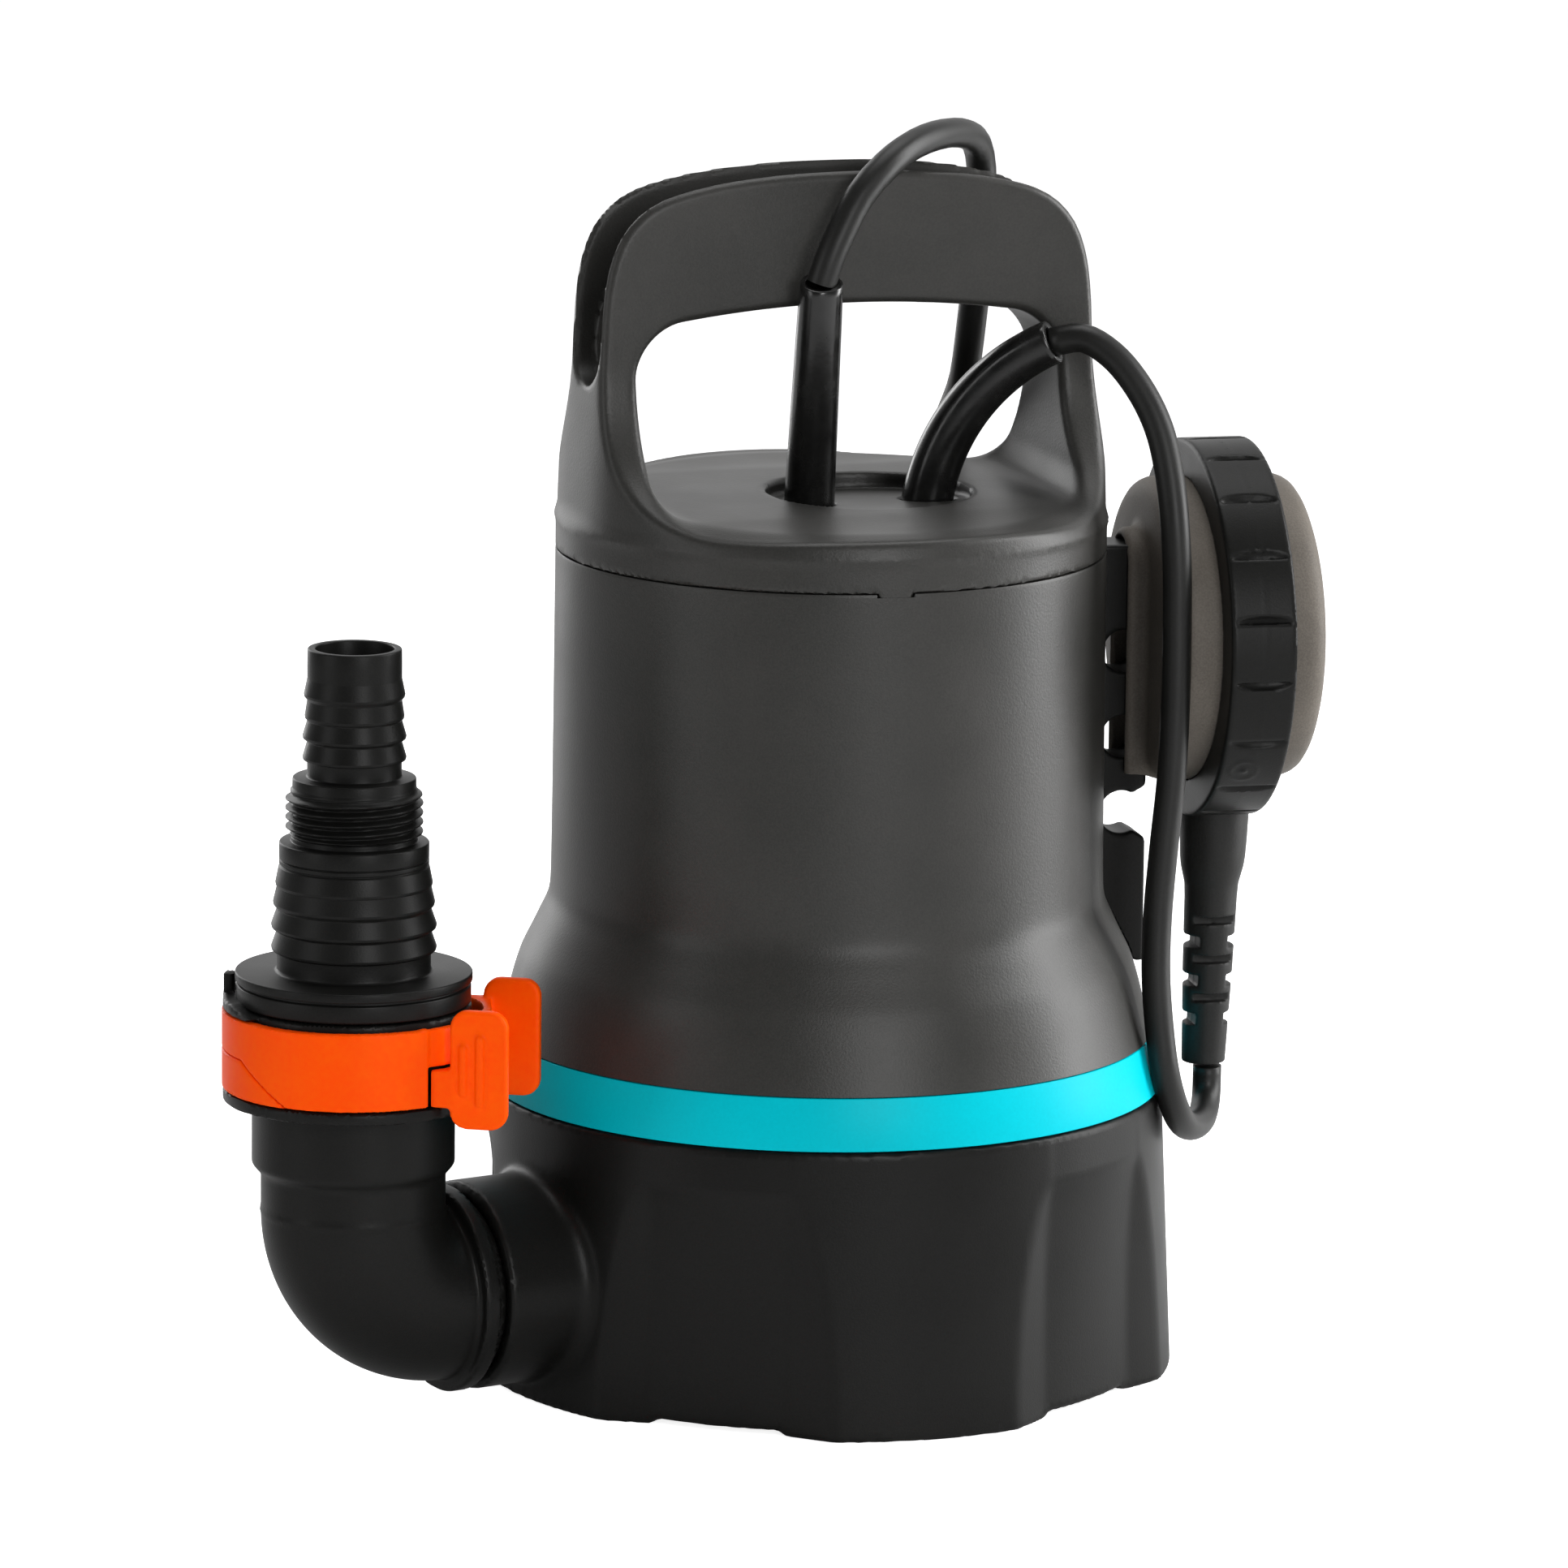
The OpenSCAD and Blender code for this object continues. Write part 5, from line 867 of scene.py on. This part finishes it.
nozzle_edge += [0.15, 0.15, 0.1, 0.1, 0.1, 0.45, 0.3, 0.1]
thread_low, thread_high, thread_r, thread_minor, thread_pitch = 145.75, 157.3, 16.62, 15.1, 2.309
thread_rows = np.arange(thread_low, thread_high, 0.16)
nozzle_side += [[thread_minor, z] for z in thread_rows]
nozzle_edge += [0.0] * len(thread_rows)
nozzle_side += [[14.95, 157.6], [14.9, 160.0], [11.4, 160.2], [11.4, 164.2]]
nozzle_edge += [0.1, 0.4, 0.5, 0.2]
for barb_r, barb_z in ((12.5, 164.95), (12.5, 170.1), (12.0, 175.0), (12.2, 180.3)):
    nozzle_side += [[barb_r - 0.1, barb_z - 0.5], [barb_r, barb_z + 0.1], [11.4, barb_z + 3.9]]
    nozzle_edge += [0.1, 0.15, 0.3]
nozzle_side += [
    [11.4, 187.5], [11.36, 191.5], [9.5, 191.5], [9.3, 157.0], [15.0, 137.0], [15.0, 114.0],
    [20.5, 101.0], [20.5, 85.9],
]
nozzle_edge += [0.3, 0.45, 0.45, 2, 2, 2, 2, 0.3]
nozzle_grid, nozzle_quads = turned(fillet(nozzle_side, nozzle_edge, 3), nozzle_sides)
around = 2 * math.pi * np.arange(nozzle_sides) / nozzle_sides
height, radius = nozzle_grid[..., 2], np.hypot(nozzle_grid[..., 0], nozzle_grid[..., 1])
phase = ((height - thread_low) / thread_pitch - around / (2 * math.pi)) % 1
crest = np.clip(1.15 - np.abs(phase - 0.5) * 2.6, 0, 1)
runout = np.clip((height - thread_low) / 0.8, 0, 1) * np.clip((thread_high - height) / 1.6, 0, 1)
on_thread = (np.abs(radius - thread_minor) < 0.1) & (height > thread_low) & (height < thread_high)
grown = np.where(on_thread, 1 + (thread_r - thread_minor) * crest * runout / thread_minor, 1)
nozzle_grid[..., :2] *= grown[..., None]
nozzle_points = nozzle_grid.reshape(-1, 3) + [*riser, 0]
nozzle = mesh_object("stepped_nozzle", nozzle_points, nozzle_quads, base_black, 35)
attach(nozzle, "nozzle")
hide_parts("hose_nozzle")

# ---- float rail -----------------------------------------------------------------------------
# A black rail screwed to the housing's side. The float's cord is pressed into one of its
# holes through a slit, or into the open mouth, and sets the height at which the pump starts.
float_turn = math.radians(353.5)
rail_r, rail_low_z, rail_top_z, rail_half = 80.0, 99.0, 204.6, 6.5
hole_r, hole_away, hole_heights, mouth_z = 5.4, 73.8, (177.8, 156.2), 137.0
housing_profile = np.array([
    [68.1, 206], [68.7, 120], [69.3, 116.5], [71.1, 113], [74.7, 106.5], [76.7, 102.5],
    [78.1, 98], [79.5, 91],
])


def rail_distance(x, y, z):
    """The rail in its own axes: x out from the shaft, y across, z up."""
    wall = np.interp(z, housing_profile[::-1, 1], housing_profile[::-1, 0])
    ends = np.maximum(rail_low_z - z, z - rail_top_z)
    plate = round_corner(np.abs(y) - rail_half, np.maximum(x - rail_r, ends), 0.7)
    plate = np.maximum(plate, wall + 0.12 - np.hypot(x, y))
    for hole_z in hole_heights:
        hole = np.hypot(x - hole_away, z - hole_z) - hole_r
        slit = np.maximum(np.abs(z - hole_z) - 0.9, hole_away - x)
        plate = soft_cut(plate, -np.minimum(hole, slit), 0.8)
    mouth = np.hypot(x - hole_away, z - mouth_z) - hole_r
    gape = np.abs(z - mouth_z) - 4.6 - np.clip(x - 76.5, 0, 9) * 0.55
    gape = np.maximum(gape, hole_away - x)
    plate = soft_cut(plate, -np.minimum(mouth, gape), 1.2)
    dish = np.maximum(np.abs(y) - 3.9, np.maximum(x - rail_r - 5, 78.2 - x))
    high, middle, low = np.abs(z - 190.5) - 6.5, np.abs(z - 167) - 3.5, np.abs(z - 118) - 11
    dish = np.maximum(dish, np.minimum(high, np.minimum(middle, low)))
    return soft_cut(plate, -dish, 0.8)


rail_points, rail_quads = skin(rail_distance, (64, -8.5, 97.5), (82.5, 8.5, 206.5), coarse * 0.7)
rail = mesh_object("hook_rail", stood(rail_points, (0, 0), float_turn), rail_quads, base_black, 50)
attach(rail, "pump")
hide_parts("float_rail")

# ---- float switch ---------------------------------------------------------------------------
# Two taupe caps, clamped together by a black grip ring, hold air, a ball and a microswitch.
# The inner cap carries a channel that hooks over the rail.
float_away, float_z, half_gap = 98.5, 182.4, 0.6
hook_r, hook_bore_r, hook_back, hook_end, hook_low = 9.1, 6.85, 16.0, 24.6, 35.3
cap_r, lip_r, cap_inner_r, ring_r, ring_w, notch_count = 38.0, 42.8, 35.6, 47.2, 16.7, 18


def on_float(points):
    """From the float's axes, x outwards along its axle, z up, to the object's."""
    x, y, z = np.asarray(points).T
    return stood(np.column_stack([x + float_away, y, z + float_z]), (0, 0), float_turn)


def lathed_x(outline, sides):
    """A closed outline of (radius, x), turned about the float's axle."""
    a = 2 * math.pi * np.arange(sides) / sides
    r, x = outline[:, :1], outline[:, 1:]
    grid = np.stack([x + 0 * a, r * np.cos(a), r * np.sin(a)], -1)
    return grid, grid_quads(len(outline), sides, wrap_rows=True)


dome = [
    [0.01, 19.7], [20, 19.7], [30, 19.6], [34.2, 19.1], [36.6, 17.8], [37.7, 15.6],
    [cap_r, 12.4], [cap_r, 4.0],
]
dome = smoothed(np.column_stack([dome, np.zeros(len(dome))]), 1.2)[:, :2]
lip_side = [[cap_r, 3.0], [lip_r, 3.0], [lip_r, 0.55], [cap_inner_r, 0.55]]
cap_inside = [[cap_inner_r, 12.5], [34.6, 15.4], [31, 17.0], [0.01, 17.4]]
cap_side = np.vstack([dome, fillet(lip_side, [0.1, 0.3, 0.3, 0.1]), cap_inside])[::-1]
cap_grid, cap_quads = lathed_x(cap_side, 180)
# Glass-filled polyamide, warm taupe: matt, with fine pale specks.
taupe = moulded("taupe_polyamide", "#59544e", "#6b655e", 0.55, 0.5, 0.05, 20.0, 0.03, 1.25)
outer_cap = mesh_object("float_cap_outer", on_float(cap_grid.reshape(-1, 3)), cap_quads, taupe, 35)
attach(outer_cap, "float")
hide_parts("float_outer_cap")


def inner_cap_distance(x, y, z):
    """The inner cap and its hook: the cap mirrored, and an arched channel that fits over the
    rail with walls 2.2 mm thick."""
    r = np.hypot(y, z)
    edge = np.interp(r, dome[:, 0], dome[:, 1])
    cap = (-x - edge) * np.where(r > 33, 0.5, 0.95)
    cap = np.maximum(cap, np.maximum(r - cap_r, x + half_gap))
    lip = round_corner(r - lip_r, np.maximum(x + half_gap, -3.0 - x), 0.3)
    body = soft_union(cap, lip, 0.6)
    hollow = np.maximum(-x - np.minimum(15.9, edge - 2.2), x)
    body = np.maximum(body, -np.maximum(r - cap_inner_r, hollow))
    outer = np.hypot(y, np.clip(z - 16.5, 0, None)) - hook_r
    outer = round_corner(outer, -x - hook_end, 1.6)
    outer = np.maximum(np.maximum(outer, x + hook_back), -hook_low - z)
    body = soft_union(body, outer, 2.6)
    inner = np.hypot(y, np.clip(z - 16.6, 0, None)) - hook_bore_r
    inner = np.maximum(inner, x + 18.1)
    return soft_cut(body, -inner, 0.9)


inner_low, inner_high = (-27, -44.5, -44.5), (1.5, 44.5, 44.5)
inner_points, inner_quads = skin(inner_cap_distance, inner_low, inner_high, coarse * 0.85)
inner_cap = mesh_object("float_cap_inner", on_float(inner_points), inner_quads, taupe, 50)
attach(inner_cap, "float")
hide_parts("float_inner_cap")

# ---- grip ring ------------------------------------------------------------------------------
# The screw ring round both caps, moulded in black polypropylene with 18 scooped grips, a
# fine parting line round its middle and the mark of its gate.


def ring_distance(x, y, z):
    """A hoop with soft edges and a groove for the caps' lips, less a long shallow scoop at
    each grip; the gate mark is a low disc with a pip."""
    r, a = np.hypot(y, z), np.arctan2(z, -y)
    half = ring_w / 2
    hoop = round_corner(r - ring_r, np.abs(x) - half, 0.9)
    hoop = np.maximum(hoop, -round_corner(r - cap_r - 0.1, np.abs(x) - half - 5, 0.1))
    hoop = np.maximum(hoop, -np.maximum(r - lip_r - 0.2, np.abs(x) - 3.2))
    pitch = 2 * math.pi / notch_count
    off = (a + math.radians(28.3) + pitch / 2) % pitch - pitch / 2
    off = off * ring_r * np.sign(a) + 1.07
    scoop = np.sqrt((x / 7.5) ** 2 + (off / 2.3) ** 2 + ((r - ring_r - 0.25) / 1.8) ** 2)
    scoop = (scoop - 1) * 1.6
    hoop = soft_cut(hoop, -np.maximum(scoop, -off), 0.3)
    gate = np.hypot(x + 2.0, (a + math.radians(39)) * ring_r)
    hoop = hoop - 0.16 * np.exp(-(((gate - 3.4) / 0.45) ** 2)) - 0.5 * np.exp(-((gate / 0.7) ** 2))
    hoop = hoop - 0.09 * np.exp(-((x / 0.25) ** 2)) * (r > 45)
    neck = np.maximum(np.hypot(x, y) - 6.7, z + 38)
    return np.maximum(hoop, -neck)


grip_points, grip_quads = skin(ring_distance, (-9.5, -48, -48), (9.5, 48, 48), coarse * 0.72)
grip = mesh_object("float_grip_ring", on_float(grip_points), grip_quads, base_black, 45)
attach(grip, "float")
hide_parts("float_ring")

# ---- float gland ----------------------------------------------------------------------------
# The rubber gland that seals the cord into the float and keeps it from kinking: a thick
# barrel, a taper, and a tail whose staggered notches let it bend.
gland_foot, gland_head, gland_core_r, notch_pitch = 71.2, 138.0, 3.72, 9.9
gland_r = np.array([
    [70.8, 5.45], [80, 5.75], [95, 6.25], [113.5, 6.6], [117.0, 6.8], [121.5, 7.9], [124, 8.2],
    [136.0, 8.8],
])


def gland_distance(x, y, z):
    """A stepped round body about the cord, notched from both sides and from the front and
    back in turn, down to a core round the cord."""
    x = x - np.interp(z, [71, 128], [-0.5, 1.0])
    r = np.hypot(x, y)
    body = (r - np.interp(z, gland_r[:, 0], gland_r[:, 1])) * 0.98
    body = round_corner(body, np.maximum(gland_foot - z, z - gland_head), 0.5)
    for k in range(3):
        side = np.maximum(3.6 - np.abs(x), np.abs(z - 82.8 - notch_pitch * k) - 1.4)
        front = np.maximum(3.6 - np.abs(y), np.abs(z - 88.4 - notch_pitch * k) - 1.0)
        body = soft_cut(body, -side, 0.5)
        body = soft_cut(body, -front, 0.4)
    core = np.maximum(r - gland_core_r, np.maximum(75 - z, z - 136))
    body = np.minimum(body, core)
    return np.maximum(body, -np.maximum(r - 3.5, z - 74.5))


gland_points, gland_quads = skin(gland_distance, (-10, -10, 68.5), (10, 10, 139.5), coarse * 0.5)
foot = float_away * np.array([math.cos(float_turn), math.sin(float_turn)])
gland_points = stood(gland_points, foot, float_turn)
# Soft moulded rubber, a shade paler and duller than the cord it holds.
gland_rubber = moulded(
    "moulded_gland_rubber", "#181817", "#20201f", 0.48, 0.6, 0.03, 20.0, 0.05, 1.3
)
gland = mesh_object("float_cord_gland", gland_points, gland_quads, gland_rubber, 50)
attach(gland, "float")
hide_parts("float_gland")

# ---- inside the pump ------------------------------------------------------------------------
# The pieces inside keep their solids: steel, varnished copper, laminations, die-cast
# aluminium, rubber seals and natural nylon.


def wound(name, dark, pale, metallic, roughness, pitch, axis):
    """Fine parallel ridges, pitch mm apart along an axis: laminations or varnished wire."""
    made, tree, shader = surface(name, pale, roughness, Metallic=metallic)
    where = add(tree, "TexCoord").outputs["Object"]
    scale = math.pi / 10 / (pitch * MM)
    ridges = add(tree, "TexWave", {"Vector": where}, Scale=scale, Distortion=0.4)
    ridges.bands_direction = axis
    ramp = add(tree, "ValToRGB", {"Fac": ridges.outputs["Fac"]})
    ramp.color_ramp.elements[0].color = linear(dark)
    ramp.color_ramp.elements[1].color = linear(pale)
    tree.links.new(ramp.outputs["Color"], shader.inputs["Base Color"])
    bump = add(tree, "Bump", {"Height": ridges.outputs["Fac"]}, Distance=0.1 * MM)
    tree.links.new(bump.outputs["Normal"], shader.inputs["Normal"])
    return made


turned_steel = metal("turned_steel", "#a9acae", 0.3, 0.6, (1, 1, 4))
inside = {
    "pump_black": (
        base_black,
        "suction_strainer volute_cover impeller cable_clamp capacitor_saddle",
    ),
    "seal": (
        moulded("nitrile_rubber", "#171716", "#1f1f1e", 0.5, 0.5, 0.02),
        "shaft_seal can_seal base_seal lid_seal float_gasket elbow_seal nozzle_seal",
    ),
    "steel": (
        turned_steel,
        "strainer_screws cover_screws carrier_screws tie_bolts clamp_screws rail_screws "
        "impeller_nut motor_shaft lower_bearing upper_bearing",
    ),
    "ball": (metal("polished_ball", "#c4c6c8", 0.12, 2.0), "switch_ball"),
    "can": (metal("drawn_steel", "#b9bcbf", 0.32, 0.5, (1, 1, 0.15)), "motor_can"),
    "stack": (
        wound("stamped_stack", "#4c4f52", "#7d8184", 1.0, 0.4, 0.5, "Z"),
        "stator_core rotor_core",
    ),
    "wire": (
        wound("varnished_copper", "#5c2c10", "#a8582a", 0.8, 0.3, 0.9, "Z"),
        "stator_windings",
    ),
    "cast": (metal("die_cast_aluminium", "#a8abad", 0.45, 1.4), "bearing_carrier bearing_bracket"),
    "nylon": (
        moulded("natural_nylon", "#cfcbbf", "#dedacf", 0.45, 0.8, 0.02),
        "run_capacitor terminal_block ball_cage microswitch",
    ),
    "sheath": (cord_rubber, "lead_wires"),
}
for finish, names in inside.values():
    for name in names.split():
        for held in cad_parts[name].material_slots:
            held.material = finish

# ---- floor and light ------------------------------------------------------------------------
# A plain white studio floor and a white surround, with five soft boxes: the key at the right,
# one in front of it, a weak fill and a rim light at the left, and a large one above.
bpy.context.scene.view_settings.view_transform = "Standard"
white, tree, shader = surface("studio_paper", "#f4f4f4", 0.9)
seen = add(tree, "LightPath")
shine = add(tree, "Math", {0: seen.outputs["Is Camera Ray"]}, operation="MULTIPLY")
shine.inputs[1].default_value = 0.84
shader.inputs["Emission Color"].default_value = (1, 1, 1, 1)
tree.links.new(shine.outputs[0], shader.inputs["Emission Strength"])
floor_half = 6000.0
floor = mesh_object(
    "floor",
    floor_half * np.array([[-1, -1, 0], [1, -1, 0], [1, 1, 0], [-1, 1, 0]]),
    [[0, 1, 2, 3]],
    white,
)

world = bpy.data.worlds.new("studio")
bpy.context.scene.world = world
world.use_nodes = True
tree = world.node_tree
tree.nodes.clear()
rays = add(tree, "LightPath")
# Mirrored rays see white only where they leave towards the back of the studio.
where = add(tree, "TexCoord").outputs["Generated"]
heading = add(tree, "VectorMath", {0: where}, operation="DOT_PRODUCT")
heading.inputs[1].default_value = tuple(-to_camera)
behind = add(
    tree, "MapRange", {"Value": heading.outputs["Value"]},
    From_Min=0.1, From_Max=0.75, To_Min=0.1, To_Max=1.0,
)
links = {0: rays.outputs["Is Glossy Ray"], 1: behind.outputs["Result"]}
mirror = add(tree, "Math", links, operation="MULTIPLY")
links = {0: rays.outputs["Is Camera Ray"], 1: rays.outputs["Is Transmission Ray"]}
straight = add(tree, "Math", links, operation="ADD")
links = {0: straight.outputs[0], 1: mirror.outputs[0]}
clear = add(tree, "Math", links, operation="ADD", use_clamp=True)
rest = add(tree, "Math", {0: rays.outputs["Is Diffuse Ray"]}, operation="MULTIPLY")
rest.inputs[1].default_value = 0.16
level = add(tree, "Math", {0: clear.outputs[0], 1: rest.outputs[0]}, operation="ADD")
sky = add(tree, "Background", {"Strength": level.outputs[0]}, Color=(1, 1, 1, 1))
add(tree, "OutputWorld", {"Surface": sky.outputs[0]})


def soft_box(name, place, target, width, height, power):
    """A rectangular lamp at place, turned to face target; millimetres and watts."""
    lamp = bpy.data.lights.new(name, "AREA")
    lamp.shape, lamp.size, lamp.size_y, lamp.energy = "RECTANGLE", width * MM, height * MM, power
    made = bpy.data.objects.new(name, lamp)
    bpy.context.collection.objects.link(made)
    back = np.subtract(place, target) / np.linalg.norm(np.subtract(place, target))
    level_axis = np.cross([0, 0, 1], back)
    level_axis /= np.linalg.norm(level_axis)
    turn = np.column_stack([level_axis, np.cross(back, level_axis), back, np.array(place) * MM])
    made.matrix_world = Matrix([*turn.tolist(), [0, 0, 0, 1]])


def staged(across, towards, height):
    """A place given across the view, towards the camera and up, in mm."""
    return across * view_right + towards * to_camera + np.array([0, 0, height])


heart = np.array([0, 0, 150])
soft_box("key_right", staged(1090, -150, 420), heart, 450, 1400, 24)
soft_box("front_right", staged(560, 1560, 650), heart, 450, 900, 12)
soft_box("fill_left", staged(-1130, 650, 450), heart, 500, 900, 3)
soft_box("rim_left", staged(-750, -1050, 450), heart, 450, 1400, 6)
soft_box("top", staged(100, -250, 1600), heart, 900, 900, 9)
